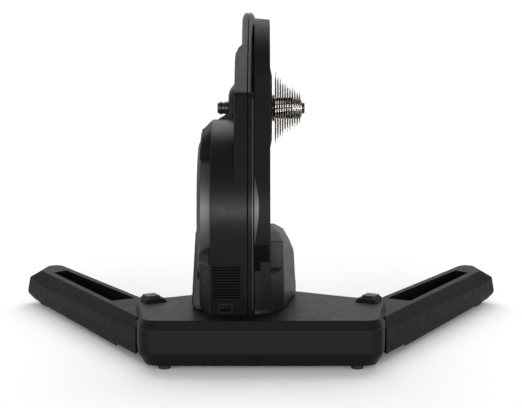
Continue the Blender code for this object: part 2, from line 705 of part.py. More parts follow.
def build_latch(side, word):
    x, y = side * LATCH[0], LATCH[1]
    low = LATCH_TOP - LATCH_BUTTON_T
    rings = [at_height(latch_square(side, LATCH_HALF - draw), z)
             for draw, z in ((0.0, low), (0.0, LATCH_TOP - LATCH_EDGE), (LATCH_EDGE, LATCH_TOP))]
    button = loft(f"{word}_latch_button", rings, GREY_PLASTIC, origin=(x, y, LATCH_TOP))
    stem = [(low + 0.002, 0.0), (low + 0.002, LATCH_STEM_R), (LATCH_FLOOR + 0.0012, LATCH_STEM_R),
            (LATCH_FLOOR + 0.0012, 0.0)]
    cut(button, turned(f"{word}_latch_stem", stem, (x, y), 12, None, True, True), "UNION")
    data = bpy.data.curves.new(f"{word}_latch_spring", "CURVE")
    data.dimensions = "3D"
    data.bevel_depth = SPRING_WIRE_R
    data.bevel_resolution = 0
    data.use_fill_caps = True
    spline = data.splines.new("POLY")
    count = 8 * SPRING_TURNS
    bottom = LATCH_FLOOR + FIT + SPRING_WIRE_R
    rise = low - FIT - SPRING_WIRE_R - bottom
    spline.points.add(count)
    for index, point in enumerate(spline.points):
        angle = math.tau * SPRING_TURNS * index / count
        place = (SPRING_COIL_R * math.cos(angle), SPRING_COIL_R * math.sin(angle))
        point.co = (x + place[0], y + place[1], bottom + rise * index / count, 1.0)
    spring = bpy.data.objects.new(f"{word}_latch_spring", data)
    data.materials.append(STEEL)
    PARTS.objects.link(spring)


def thin_cutter(name, left):
    """Everything left of a plane, over the line where the crest thins."""
    outline = [THIN_REAR, (THIN_REAR[0] - 0.02, 0.530), (0.140, 0.530), THIN_FRONT]
    return plate(name, [outline], -0.060, left, None, cutter=True)


def axis_cutter(name, centre, radius, low, high, steps=MEDIUM):
    return plate(name, [circle(centre, radius, steps)], low, high, None, cutter=True)


def over_thin(point):
    """How far a point of the side view lies over the line where the crest thins."""
    slope = (THIN_FRONT[1] - THIN_REAR[1]) / (THIN_FRONT[0] - THIN_REAR[0])
    return point[1] - THIN_REAR[1] - slope * (point[0] - THIN_REAR[0])


def share_of(points, level, above):
    """The part of an outline that lies above or below a level over that line."""
    side = 1.0 if above else -1.0
    kept = []
    for here, after in zip(points, points[1:] + points[:1]):
        a, b = (side * (over_thin(p) - level) for p in (here, after))
        if a >= 0:
            kept.append(here)
        if (a >= 0) != (b >= 0):
            share = a / (a - b)
            kept.append((here[0] + share * (after[0] - here[0]), here[1] + share * (after[1] - here[1])))
    return kept


def build_tower():
    tower = tower_outline()
    drum = drum_outline()
    left = plate("housing_left_half", [tower], BODY_LEFT, SEAM, BLACK_PAINT)
    cut(left, thin_cutter("crest_thinning", THIN_LEFT))
    cut(left, plate("drum_solid", [drum], HOUSING_LEFT, BODY_LEFT + 0.002, None, cutter=True), "UNION")
    cut(left, plate("drum_hollow", [inset(drum, WALL)], HOUSING_LEFT + WALL, SEAM + 0.004, None,
                    cutter=True))
    inner = inset(tower, WALL + 0.0010)
    cut(left, plate("arm_hollow", [share_of(inner, -WALL, False)], BODY_LEFT + WALL, SEAM + 0.002, None,
                    cutter=True))
    cut(left, plate("crest_hollow", [share_of(inset(tower, WALL + 0.0016), -0.006, True)], THIN_LEFT + WALL, SEAM + 0.003, None,
                    cutter=True))
    bearing_out = HOUSING_LEFT + 0.0014 + BEARING_T
    cut(left, axis_cutter("left_bearing_boss", DRUM, BOSS_R, HOUSING_LEFT + WALL - 0.002, bearing_out),
        "UNION")
    cut(left, axis_cutter("left_bearing_seat", DRUM, BEARING_R + FIT, HOUSING_LEFT + 0.0011,
                          bearing_out + 0.002))
    cut(left, axis_cutter("left_shaft_hole", DRUM, SHAFT_R + RUN, HOUSING_LEFT - 0.002,
                          HOUSING_LEFT + 0.004))
    cut(left, axis_cutter("left_axle_boss_inner", AXLE, 0.016, BODY_LEFT + WALL - 0.002, SEAM - 0.001),
        "UNION")
    cut(left, axis_cutter("left_axle_bore", AXLE, AXLE_R + FIT, BODY_LEFT - 0.002, SEAM))
    lean = lean_frame()
    margin = 0.003
    top = VENT_LOW + VENT_PITCH * VENT_COUNT
    cut(left, block("vent_window", (VENT_LEFT + margin, VENT_LOW - 0.001, -WALL - 0.003),
                    (VENT_RIGHT - margin, top - 0.001, 0.004), None, frame=lean, cutter=True))
    cut(left, block("vent_seat", (VENT_LEFT - FIT, VENT_LOW - 0.004 - FIT, -VENT_T - FIT),
                    (VENT_RIGHT + FIT, top + 0.002 + FIT, 0.004), None, frame=lean, cutter=True))
    cut(left, block("inlet_window", (INLET_LEFT - FIT, INLET_LOW - FIT, -0.025),
                    (INLET_RIGHT + FIT, INLET_HIGH + FIT, 0.004), None, frame=lean, cutter=True))

    right = plate("housing_right_half", [tower], SEAM + FIT, BODY_RIGHT, BLACK_PAINT)
    cut(right, plate("right_hollow", [inner], SEAM - 0.002, BODY_RIGHT - WALL, None, cutter=True))
    seat = BODY_RIGHT - 0.0011
    cut(right, axis_cutter("right_bearing_boss", DRUM, BOSS_R, seat - BEARING_T, BODY_RIGHT - WALL + 0.002),
        "UNION")
    cut(right, axis_cutter("right_bearing_seat", DRUM, BEARING_R + FIT, seat - BEARING_T - 0.002, seat))
    cut(right, axis_cutter("right_shaft_hole", DRUM, SHAFT_R + RUN, seat - 0.002, BODY_RIGHT + 0.002))
    cut(right, axis_cutter("right_axle_boss_inner", AXLE, 0.016, SEAM + FIT, BODY_RIGHT - WALL + 0.002),
        "UNION")
    cut(right, axis_cutter("right_axle_bore", AXLE, AXLE_R + FIT, SEAM - 0.002, BODY_RIGHT + 0.002))
    return left, right


def build_grille():
    lean = lean_frame()
    low = VENT_LOW - 0.004
    high = VENT_LOW + VENT_PITCH * VENT_COUNT + 0.002
    frame = [(VENT_LEFT, low), (VENT_RIGHT, low), (VENT_RIGHT, high), (VENT_LEFT, high)]
    loops = [frame]
    for index in range(VENT_COUNT):
        base = VENT_LOW + VENT_PITCH * index
        loops.append([(VENT_LEFT + 0.004, base), (VENT_RIGHT - 0.004, base),
                      (VENT_RIGHT - 0.004, base + VENT_SLOT), (VENT_LEFT + 0.004, base + VENT_SLOT)])
    plate("vent_grille", loops, -VENT_T, 0.0, BLACK_PLASTIC, lean)


def build_inlet():
    lean = lean_frame()
    body = block("mains_inlet", (INLET_LEFT, INLET_LOW, -INLET_DEPTH),
                 (INLET_RIGHT, INLET_HIGH, 0.0006), BLACK_PLASTIC, frame=lean)
    cut(body, block("inlet_socket", (INLET_LEFT + SOCKET_MARGIN, INLET_LOW + SOCKET_MARGIN, -SOCKET_DEPTH),
                    (INLET_RIGHT - SOCKET_MARGIN, INLET_HIGH - SOCKET_MARGIN, 0.002), None, frame=lean,
                    cutter=True))
    middle = ((INLET_LEFT + INLET_RIGHT) / 2, (INLET_LOW + INLET_HIGH) / 2)
    for side, word in ((-1, "left"), (1, "right")):
        pin = circle((middle[0] + side * CONTACT_SPREAD, middle[1]), CONTACT_R, 8)
        plate(f"{word}_inlet_contact", [pin], -SOCKET_DEPTH + FIT, -0.003, STEEL, lean)


def build_board():
    floor = FOOT_Z + WALL + FIT
    low = floor + BOARD_RISE
    near, far = BOARD_BOX
    board = block("control_board", (*near, low), (*far, low + BOARD_T), BOARD_GREEN)
    edge = BOARD_POST_R + 0.001
    corners = [(x, y) for y in (near[1] + edge, far[1] - edge) for x in (near[0] + edge, far[0] - edge)]
    for index, (x, y) in enumerate(corners):
        post = [(low + BOARD_T / 2, 0.0), (low + BOARD_T / 2, BOARD_POST_R), (floor, BOARD_POST_R), (floor, 0.0)]
        cut(board, turned(f"board_post_{index}", post, (x, y), 8, None, True, True), "UNION")
    for index, (x, y, wide, tall) in enumerate(BOARD_CHIPS):
        cut(board, block(f"board_chip_{index}", (x - wide, y - wide, low + BOARD_T / 2),
                         (x + wide, y + wide, low + BOARD_T + tall), None, cutter=True), "UNION")


def build_guard():
    """Hood over the top and front of the flywheel, bevelled towards its open left side."""
    left = FLY_LEFT + GUARD_SHORT
    inner = FLY_R + GUARD_GAP
    root = (HOUSING_LEFT - FIT, DRUM_R - 0.0005)
    hollow = (HOUSING_LEFT - FIT, root[1] - GUARD_ROOT_T)
    profile = [root, (left + GUARD_SHOULDER_IN, FLY_R + GUARD_SHOULDER), (left, inner + GUARD_LIP_T),
               (left, inner), (left + 0.004, inner), (hollow[0] - 0.004, hollow[1]), hollow]
    guard = turned("flywheel_guard", profile, DRUM, FINE, BLACK_PLASTIC)
    reach = 0.4
    start = drum_point(GUARD_START, reach)
    stop = drum_point(GUARD_END, reach)
    sector = [DRUM, start, (-0.60, 0.40), (-0.60, -0.20), (0.30, -0.20), stop]
    cut(guard, plate("guard_gap", [sector], -0.12, -0.05, None, cutter=True))
    head = left + GUARD_SHOULDER_IN
    screw = [(head + 0.010, 0.0), (head + 0.010, GUARD_SCREW_R), (head - 0.0005, GUARD_SCREW_R),
             (head - 0.0005, 0.0)]
    screw_at = drum_point(math.radians(84.0), FLY_R + GUARD_SHOULDER)
    cut(guard, turned("guard_screw", screw, screw_at, 12, None, cutter=True), "UNION")


def build_flywheel():
    web_low = (FLY_LEFT + FLY_RIGHT) / 2 - FLY_WEB_T / 2
    web_high = web_low + FLY_WEB_T
    rim = FLY_R - FLY_RIM
    hub = 0.022
    profile = [(FLY_RIGHT, FLY_R), (FLY_LEFT + FLY_BEVEL, FLY_R), (FLY_LEFT, FLY_FACE_R),
               (FLY_LEFT, rim), (web_low, rim - 0.003), (web_low, hub + 0.002), (FLY_LEFT + 0.001, hub),
               (FLY_LEFT + 0.001, SHAFT_R + FIT), (FLY_RIGHT, SHAFT_R + FIT), (FLY_RIGHT, hub),
               (web_high, hub + 0.002), (web_high, rim - 0.003), (FLY_RIGHT, rim)]
    turned("flywheel", profile, DRUM, FINE, DARK_STEEL)
    shaft = [(SHAFT_RIGHT, 0.0), (SHAFT_RIGHT, SHAFT_R), (SHAFT_LEFT, SHAFT_R), (SHAFT_LEFT, 0.0)]
    turned("flywheel_shaft", shaft, DRUM, COARSE, STEEL)
    nut = ring_profile(FLY_LEFT + 0.001 - FIT - NUT_T, FLY_LEFT + 0.001 - FIT, NUT_R, SHAFT_R + FIT)
    turned("flywheel_nut", nut, DRUM, 6 * 4, STEEL)

    left_low = HOUSING_LEFT + 0.0014
    right_high = BODY_RIGHT - 0.0014
    for word, low in (("left", left_low), ("right", right_high - BEARING_T)):
        turned(f"{word}_shaft_bearing", ring_profile(low, low + BEARING_T, BEARING_R, SHAFT_R + FIT), DRUM,
               COARSE, STEEL)


def build_brake():
    wall = HOUSING_LEFT + WALL + FIT
    core = ring_profile(wall, wall + 0.016, CORE_R, CORE_HOLE_R)
    turned("brake_core", core, DRUM, MEDIUM, DARK_STEEL)
    depth, across, tall = COIL_SIZE
    hoop = ring_profile(wall + 0.003, wall + 0.007, CORE_R + FIT + 0.003, CORE_R + FIT)
    coils = turned("brake_coils", hoop, DRUM, MEDIUM, COPPER)
    for index in range(COIL_COUNT):
        turn = Matrix.Rotation(math.tau * index / COIL_COUNT, 4, "X")
        frame = Matrix.Translation((wall + depth / 2 + 0.0005, DRUM_Y, DRUM_Z)) @ turn
        inner = CORE_R + FIT
        cut(coils, block(f"brake_coil_{index}", (-depth / 2, -across / 2, inner + 0.001),
                         (depth / 2, across / 2, inner + tall), None, 0.0, frame, True), "UNION")
    web = BODY_LEFT + WALL + 0.001
    rim_low = web + ROTOR_T - ROTOR_RIM
    rotor = [(web + ROTOR_T, ROTOR_R), (rim_low, ROTOR_R), (rim_low, ROTOR_R - ROTOR_T),
             (web, ROTOR_R - ROTOR_T), (web, 0.018), (web - 0.010, 0.016), (web - 0.010, SHAFT_R + FIT),
             (web + ROTOR_T, SHAFT_R + FIT)]
    turned("brake_rotor", rotor, DRUM, MEDIUM, ALUMINIUM)


def build_belt_drive():
    cover = tangent_loop(AXLE, COVER_R, DRUM, COVER_LOW_R)
    low = BODY_RIGHT + FIT
    shell = plate("belt_cover", [cover], low, COVER_RIGHT, BLACK_PLASTIC)
    cut(shell, plate("belt_cover_hollow", [inset(cover, COVER_WALL)], low - 0.002,
                     COVER_RIGHT - COVER_WALL, None, cutter=True))
    cut(shell, axis_cutter("belt_cover_hole", AXLE, HUB_HOLE_R + 0.002, 0.0, COVER_RIGHT + 0.002))
    face = COVER_RIGHT + FIT
    disc = [(face + HUB_PLATE_T, HUB_PLATE_FACE_R), (face, HUB_PLATE_R), (face, HUB_HOLE_R),
            (face + HUB_PLATE_T, HUB_HOLE_R)]
    turned("hub_cover_plate", disc, AXLE, FINE, GREY_PLASTIC)

    high = PULLEY_LEFT + PULLEY_T
    rim = PULLEY_R - PULLEY_RIM
    web = PULLEY_LEFT + 0.005
    neck_end = FLANGE_LEFT - FIT
    bore = HUB_BEARING_R + FIT
    hub_low = BODY_RIGHT + 0.0015
    profile = [(neck_end, NECK_R), (high + 0.0005, NECK_R), (high + 0.0005, HUB_R), (web + 0.004, HUB_R + 0.003),
               (web + 0.004, rim - 0.002), (high, rim), (high, PULLEY_R), (PULLEY_LEFT, PULLEY_R),
               (PULLEY_LEFT, rim), (web, rim - 0.002), (web, HUB_R + 0.003), (hub_low, HUB_R),
               (hub_low, bore), (neck_end, bore)]
    turned("hub_pulley", profile, AXLE, FINE, ALUMINIUM)

    belt_low = PULLEY_LEFT + (PULLEY_T - BELT_W) / 2
    inner = tangent_loop(AXLE, PULLEY_R, DRUM, SMALL_PULLEY_R, FIT)
    outer = tangent_loop(AXLE, PULLEY_R, DRUM, SMALL_PULLEY_R, FIT + BELT_T)
    plate("drive_belt", [outer, inner], belt_low, belt_low + BELT_W, RUBBER)
    flange = SMALL_PULLEY_R + SMALL_FLANGE
    small = [(high, flange), (belt_low + BELT_W + 2 * FIT, flange), (belt_low + BELT_W + 2 * FIT, SMALL_PULLEY_R),
             (belt_low - 2 * FIT, SMALL_PULLEY_R), (belt_low - 2 * FIT, flange), (PULLEY_LEFT, flange),
             (PULLEY_LEFT, SHAFT_R + FIT), (high, SHAFT_R + FIT)]
    turned("flywheel_pulley", small, DRUM, MEDIUM, ALUMINIUM)

    line = Vector(DRUM) - Vector(AXLE)
    along = math.atan2(line.y, line.x)
    lift = math.acos((PULLEY_R - SMALL_PULLEY_R) / line.length)
    normal = Vector((math.cos(along - lift), math.sin(along - lift)))
    start = Vector(AXLE) + normal * PULLEY_R
    stop = Vector(DRUM) + normal * SMALL_PULLEY_R
    centre = start.lerp(stop, IDLER_ALONG) + normal * (BELT_T + 2 * FIT + IDLER_R)
    centre = (centre.x, centre.y)
    turned("idler_roller", ring_profile(belt_low, belt_low + BELT_W, IDLER_R, IDLER_PIN_R + FIT), centre,
           COARSE, DARK_STEEL)
    arm_low = BODY_RIGHT + FIT
    arm_high = belt_low - FIT
    arm = arc(centre, 0.010, 0.0, math.pi, math.radians(30))
    arm += [(centre[0] - 0.010, centre[1] - 0.034), (centre[0] + 0.010, centre[1] - 0.034)]
    bracket = plate("idler_bracket", [arm], arm_low, arm_high, DARK_STEEL)
    stud = [(belt_low + BELT_W + 0.001, 0.0), (belt_low + BELT_W + 0.001, IDLER_PIN_R),
            (arm_high - 0.001, IDLER_PIN_R), (arm_high - 0.001, 0.0)]
    cut(bracket, turned("idler_stud", stud, centre, COARSE, None, cutter=True), "UNION")


def build_axle():
    half = AXLE_WIDTH / 2
    right_step = half - CAP_DEPTH - FIT
    right_end = half - CAP_FLANGE
    left_end = -half + CAP_FLANGE + 0.004
    axle = [(right_end, SKEWER_R + 0.0029), (right_step - FIT, SKEWER_R + 0.0029), (right_step - FIT, AXLE_R),
            (left_end, AXLE_R), (left_end, SKEWER_R), (right_end, SKEWER_R)]
    turned("hub_axle", axle, AXLE, COARSE, STEEL)
    right_cap = [(half, CAP_R), (right_step, CAP_R), (right_step, SKEWER_R + 0.0029 + FIT),
                 (right_end + FIT, SKEWER_R + 0.0029 + FIT), (right_end + FIT, SKEWER_R), (half, SKEWER_R)]
    turned("right_end_cap", right_cap, AXLE, COARSE, BLACK_PAINT)
    boss_face = BODY_LEFT - 0.0106
    left_cap = [(boss_face - FIT, LEFT_CAP_R), (-half + CAP_FLANGE, LEFT_CAP_R), (-half + CAP_FLANGE, CAP_R),
                (-half, CAP_R), (-half, SKEWER_R), (left_end - FIT, SKEWER_R),
                (left_end - FIT, AXLE_R + FIT), (boss_face - FIT, AXLE_R + FIT)]
    turned("left_end_cap", left_cap, AXLE, COARSE, BLACK_PAINT)

    start = BODY_LEFT - FIT
    boss = [(start, 0.036), (start - 0.0025, 0.0355), (start - 0.0083, 0.027), (boss_face, 0.020),
            (boss_face, AXLE_R + FIT), (start, AXLE_R + FIT)]
    body = turned("left_axle_boss", boss, AXLE, MEDIUM, BLACK_PAINT)
    foot = DRUM_Z + DRUM_R - 0.006
    web = [(-0.0635, foot), (-0.0635, foot + 0.0036), (-0.047, foot + 0.0175), (-0.042, foot + 0.0175),
           (-0.042, foot)]
    rings = [[(x, y, z) for x, z in web] for y in (-0.068, -0.050)]
    cut(body, loft("boss_web", rings, None, cutter=True), "UNION")
    cut(body, axis_cutter("boss_clearance", DRUM, DRUM_R + 0.0012, HOUSING_LEFT - 0.002, -0.030, MEDIUM))
    cut(body, axis_cutter("boss_bore", AXLE, AXLE_R + FIT, -0.07, -0.03, COARSE))

    for word, low in HUB_BEARINGS:
        turned(f"{word}_bearing", ring_profile(low, low + HUB_BEARING_T, HUB_BEARING_R, AXLE_R + FIT),
               AXLE, COARSE, STEEL)


def sprocket_outline(teeth):
    """Straight-sided teeth round a chain wheel of the standard half-inch pitch."""
    pitch_r = CHAIN_PITCH / (2 * math.sin(math.pi / teeth))
    root = pitch_r - ROLLER_R
    tip = pitch_r + TOOTH_RISE
    points = []
    for index in range(teeth):
        for share, radius in ((-0.33, root), (-0.10, tip), (0.10, tip), (0.33, root)):
            angle = math.tau * (index + share) / teeth
            points.append((AXLE_Y + radius * math.cos(angle), AXLE_Z + radius * math.sin(angle)))
    return points


def build_cassette():
    last = SPROCKET_FIRST + SPROCKET_PITCH * (len(SPROCKET_TEETH) - 1)
    end = last + SPROCKET_T / 2
    body = [(end, FREEHUB_R), (FLANGE_LEFT + FLANGE_T, FREEHUB_R), (FLANGE_LEFT + FLANGE_T, FLANGE_R),
            (FLANGE_LEFT, FLANGE_R), (FLANGE_LEFT, HUB_BEARING_R + FIT), (end, HUB_BEARING_R + FIT)]
    turned("freehub_body", body, AXLE, COARSE, DARK_STEEL)
    hole = circle(AXLE, FREEHUB_R + FIT, COARSE)
    for index, teeth in enumerate(SPROCKET_TEETH):
        middle = SPROCKET_FIRST + SPROCKET_PITCH * index
        low = middle - SPROCKET_T / 2
        wheel = plate(f"sprocket_{teeth}", [sprocket_outline(teeth), hole], low, low + SPROCKET_T, NICKEL)
        if index:
            collar = ring_profile(low - SPROCKET_PITCH + SPROCKET_T + FIT, low + SPROCKET_T / 2,
                                  SPACER_R, FREEHUB_R + FIT)
            cut(wheel, turned(f"spacer_{teeth}", collar, AXLE, COARSE, None, cutter=True), "UNION")
    ring = ring_profile(end + FIT, end + FIT + LOCKRING_T, LOCKRING_R, CAP_R + 0.0008)
    turned("cassette_lockring", ring, AXLE, COARSE, DARK_STEEL)


def lean_y(height):
    """Where the leaning rear face is at a height."""
    return TOE_Y - (height - FOOT_Z) * math.tan(REAR_LEAN)


def plinth(plan, joint):
    """The bottom of a cover: its outline drawn in a little, except along the joint with the tower."""
    drawn = inset(plan, PLINTH_INSET)
    return [(x if x == joint else new_x, new_y) for (x, _), (new_x, new_y) in zip(plan, drawn)]


def build_left_skirt():
    edge = HOUSING_LEFT - FIT
    corner = edge - LEFT_COVER_RETURN
    front_x, front_y = LEFT_COVER_FRONT
    low = [*LEFT_COVER_FOOT, (corner, TOE_Y), (edge, TOE_Y),
           (edge, FRONT_FOOT_Y), (front_x, FRONT_FOOT_Y), (SKIRT_LEFT, front_y)]
    rear = lean_y(SKIRT_REAR_TOP)
    (near_y, far_y), bend, (front_x, front_y) = LEFT_COVER_HEAD
    high = [(SKIRT_LEFT_TOP, near_y, SKIRT_TOP), (*bend, SKIRT_REAR_TOP + 0.002),
            (corner, rear, SKIRT_REAR_TOP), (edge, rear, SKIRT_REAR_TOP),
            (edge, front_y, SKIRT_TOP), (front_x, front_y, SKIRT_TOP), (SKIRT_LEFT_TOP, far_y, SKIRT_TOP)]
    rings = [at_height(plinth(low, edge), FOOT_Z), at_height(low, PLINTH_TOP), high]
    left = loft("pedestal_left_cover", rings, GREY_PLASTIC)
    cut(left, axis_cutter("flywheel_pocket", DRUM, FLY_R + 0.004, FLY_LEFT - RUN, -0.060, FINE))


def build_right_skirt():
    edge = BODY_RIGHT + FIT
    rings = []
    for height, mid_x, mid_y, near_x, near_y, side_x, front_y, inner_front in RIGHT_COVER_ROWS:
        rear = lean_y(height)
        plan = [(edge, rear), (-0.004, rear), (mid_x, rear + mid_y), (near_x, near_y),
                (side_x, RIGHT_SIDE_Y), (side_x, front_y), (edge, inner_front)]
        if not rings:
            rings.append(at_height(plinth(plan, edge), FOOT_Z))
        rings.append(at_height(plan, height))
    right = loft("pedestal_right_cover", rings, GREY_PLASTIC)
    fall = LEDGE_Z - LEDGE_FALL * (-LEDGE_BEND_Y + 0.03)
    ledge = [(-0.26, LEDGE_Z), (LEDGE_BEND_Y, LEDGE_Z), (0.03, fall), (0.03, 0.2), (-0.26, 0.2)]
    cut(right, plate("ledge_cut", [ledge], COVER_RIGHT + FIT, 0.08, None, cutter=True))
    inner = COVER_RIGHT + 0.0006
    rings = []
    for height, near_x, near_y, side_x, front_y in RIGHT_SHOULDER_ROWS:
        plan = [(inner, near_y), (near_x, near_y), (side_x, RIGHT_SIDE_Y - 0.01 * (height > 0.17)),
                (side_x, front_y), (inner, front_y)]
        rings.append(at_height(plan, height))
    cut(right, loft("right_shoulder", rings, None, cutter=True), "UNION")
    pocket = tangent_loop(AXLE, COVER_R, DRUM, COVER_LOW_R, 2 * FIT)
    cut(right, plate("cover_pocket", [pocket], BODY_RIGHT - 0.01, COVER_RIGHT + FIT, None, cutter=True))
    notch_left, notch_right, notch_z = LIP_NOTCH
    step = [(notch_left, -0.260), (notch_left, -0.200), (notch_right, -0.200), (notch_right, -0.260)]
    cut(right, plate("lip_notch", [step], notch_z, 0.20, None, LEVEL, cutter=True))


build_base()
for leg_side, leg_word in ((-1, "left"), (1, "right")):
    build_leg(leg_side, leg_word)
    build_latch(leg_side, leg_word)
build_tower()
build_grille()
build_inlet()
build_board()
build_guard()
build_flywheel()
build_brake()
build_belt_drive()
build_axle()
build_cassette()
build_left_skirt()
build_right_skirt()
bpy.context.view_layer.update()
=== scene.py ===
"""Looks of a direct-drive bicycle trainer: rounded mouldings, machined metal, studio and camera.

Metres. +Z is up, +Y is the way the bicycle faces and +X is its chain side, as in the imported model.
Side views are drawn in (y, z) and plans in (x, y).
"""

import math

import bmesh
import bpy
import numpy as np
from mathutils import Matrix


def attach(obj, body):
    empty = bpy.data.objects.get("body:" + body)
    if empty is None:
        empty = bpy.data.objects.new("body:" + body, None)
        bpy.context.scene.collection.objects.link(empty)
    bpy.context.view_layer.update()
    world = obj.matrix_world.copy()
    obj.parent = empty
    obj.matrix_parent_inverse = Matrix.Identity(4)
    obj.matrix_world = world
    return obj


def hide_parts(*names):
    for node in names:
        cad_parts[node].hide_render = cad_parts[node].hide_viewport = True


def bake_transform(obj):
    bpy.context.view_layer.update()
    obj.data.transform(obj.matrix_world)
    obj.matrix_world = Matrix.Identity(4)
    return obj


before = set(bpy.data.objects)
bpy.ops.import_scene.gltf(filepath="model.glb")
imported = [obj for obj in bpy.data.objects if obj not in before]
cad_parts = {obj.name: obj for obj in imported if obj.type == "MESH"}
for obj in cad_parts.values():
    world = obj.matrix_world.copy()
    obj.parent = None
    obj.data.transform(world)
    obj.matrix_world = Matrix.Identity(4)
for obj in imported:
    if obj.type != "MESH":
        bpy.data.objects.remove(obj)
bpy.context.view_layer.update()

# Points nearer than WELD are one; cut pieces keep a crease where faces meet at more than this many degrees
WELD = 0.000004
CUT_CREASE = 32.0

# Places and sizes shared with the CAD model
FIT = 0.0003
AXLE = (-0.037, 0.3492)
DRUM = (-0.105, 0.206)
DRUM_R = 0.132
HOUSING_LEFT = -0.0704
BODY_LEFT = -0.038
THIN_LEFT = -0.0286
SEAM = -0.0187
BODY_RIGHT = -0.0096
LEAN = math.radians(15.0)
CREST_FOOT = (-0.172, 0.381)
CREST_HEAD = (0.033, 0.489)
FOOT_Z = 0.0708
BASE_TOP = 0.0705
TOE_Y = DRUM[0] - DRUM_R * math.cos(LEAN) + (DRUM[1] - DRUM_R * math.sin(LEAN) - FOOT_Z) * math.tan(LEAN)
FRONT_FOOT_Y = -0.04
BASE_HALF = 0.1495
BASE_REAR = -0.246
HINGE = (BASE_HALF + 0.0111, -0.1405)
LEG_OPEN = math.radians(29.0)
LEG_LENGTH = 0.383
LATCH = (BASE_HALF + 0.0125, -0.108)
LATCH_TOP = 0.08
FLY_LEFT = -0.0905
FLY_RIGHT = -0.0709
FLY_R = 0.105
COVER_R = 0.1334
COVER_LOW_R = 0.1315
COVER_RIGHT = 0.013
# Elevations on the drum where the straight rear starts and where the nose meets it
STRAIGHT_FROM = math.radians(24.0)
BELLY = math.radians(204.0)
# Cooling slots: distances up the leaning face; and the mains inlet as left, right, low, high on it
VENT_LOW = 0.0262
VENT_PITCH = 0.0043
VENT_SLOT = 0.0021
VENT_COUNT = 12
INLET = (-0.06, -0.0395, 0.0022, 0.0185)

SIDES = ((-1, "left"), (1, "right"))

# The photograph: its width, focal length and how far its horizon lies above the middle, in pixels
PHOTO_WIDTH = 522.0
FOCAL = 1484.0
HORIZON = 224.0
SENSOR_MM = 36.0
CAMERA = (0.0, -2.252, 0.5385)
FLOOR_HALF = 60.0

# Light over the object: (degrees, strength) from the horizon behind the camera (0) over the top to the
# far one (180). The two ends come first, as a colour ramp starts with them.
TUNNEL = ((0, 13.5), (180, 0.5), (8, 14.0), (16, 4.4), (28, 1.3), (45, 0.3), (66, 0.3), (88, 0.2), (105, 0.3),
          (125, 4.1), (148, 1.8), (165, 1.2))
# Light from the sides: near the camera, beside the object, beyond it; the ends lie at this much forwards
WALL_NEAR = 0.7
LEFT_WALL = (0.15, 0.5, 0.5)
RIGHT_WALL = (0.2, 0.5, 0.5)
# Sideways part of a direction at which that light starts, and at which there is no other
WALL_START = 0.42
WALL_FULL = 0.72


# Outlines

def eased(points, reach, steps=4, closed=True):
    """Round the corners of a line of points, or of a stack of outlines along its first axis.

    A corner C becomes the curve (1-t)^2 A + 2t(1-t) C + t^2 B for t from 0 to 1. A and B lie `reach`
    back and ahead of C, or 48% of the way to the next corner where that is nearer.
    """
    points = np.asarray(points, float)
    reach = np.asarray(reach, float)
    if reach.ndim == 1:
        reach = reach.reshape((-1,) + (1,) * (points.ndim - 1))

    def toward(other):
        step = other - points
        length = np.maximum(np.linalg.norm(step, axis=-1, keepdims=True), 1e-9)
        return points + step * np.minimum(reach / length, 0.48)

    back, ahead = toward(np.roll(points, 1, axis=0)), toward(np.roll(points, -1, axis=0))
    t = np.linspace(0.0, 1.0, steps + 1).reshape((-1,) + (1,) * points.ndim)
    curve = (1 - t) ** 2 * back + 2 * t * (1 - t) * points + t ** 2 * ahead
    curve = np.moveaxis(curve, 0, 1)
    if not closed:
        inner = curve[1:-1].reshape((-1,) + points.shape[1:])
        return np.concatenate((points[:1], inner, points[-1:]))
    return curve.reshape((-1,) + points.shape[1:])


def inset(outline, depth):
    """Move every side of a flat outline inwards by `depth`.

    Each corner shifts along its mitre by depth / cos(half the turn there).
    """
    outline = np.asarray(outline, float)
    before = outline - np.roll(outline, 1, axis=0)
    following = np.roll(outline, -1, axis=0)
    after = following - outline
    turn = np.sign(np.sum(outline[:, 0] * following[:, 1] - following[:, 0] * outline[:, 1]))

    def normal(side):
        side = side / np.linalg.norm(side, axis=1, keepdims=True)
        return np.column_stack((-side[:, 1], side[:, 0])) * turn

    first, second = normal(before), normal(after)
    mitre = first + second
    return outline + mitre * depth / np.maximum(np.sum(mitre * first, axis=1, keepdims=True), 0.2)


def smooth(value):
    """0 below 0, 1 above 1 and the curve 3v^2 - 2v^3 between."""
    value = np.clip(value, 0.0, 1.0)
    return value * value * (3 - 2 * value)


def rectangle(left, right, low, high, grow=0.0):
    """Corners of a rectangle, moved outwards by `grow`."""
    left, right, low, high = left - grow, right + grow, low - grow, high + grow
    return np.array(((left, low), (right, low), (right, high), (left, high)), float)


def on_side(outline, x):
    """A side view (y, z) placed at x."""
    return np.column_stack((np.full(len(outline), x), outline))


def on_level(outline, z):
    """A plan (x, y) placed at height z, which may differ from point to point."""
    return np.column_stack((outline, np.full(len(outline), z)))


def on_lean(outline, out):
    """Points (x, distance up the leaning rear face) set `out` in front of that face."""
    outline = np.asarray(outline, float)
    up = np.array((-math.sin(LEAN), math.cos(LEAN)))
    away = np.array((-math.cos(LEAN), -math.sin(LEAN)))
    side = np.array((TOE_Y, FOOT_Z)) + outline[:, 1:] * up + out * away
    return np.column_stack((outline[:, 0], side))


def lean_y(height):
    """Where the leaning rear face stands at a height."""
    return TOE_Y - (height - FOOT_Z) * math.tan(LEAN)


def around(centre, radius, turn):
    """Points at distance `radius` and angle `turn` from a centre."""
    return np.column_stack((centre[0] + radius * np.cos(turn), centre[1] + radius * np.sin(turn)))


def circle(centre, radius, count=96):
    """Points at equal steps round a circle."""
    return around(centre, radius, np.linspace(0.0, math.tau, count, endpoint=False))


def arc(centre, radius, start, stop, step=math.radians(3.0)):
    """Points about `step` apart from angle `start` to `stop`."""
    return around(centre, radius, np.linspace(start, stop, max(3, round(abs(stop - start) / step) + 1)))


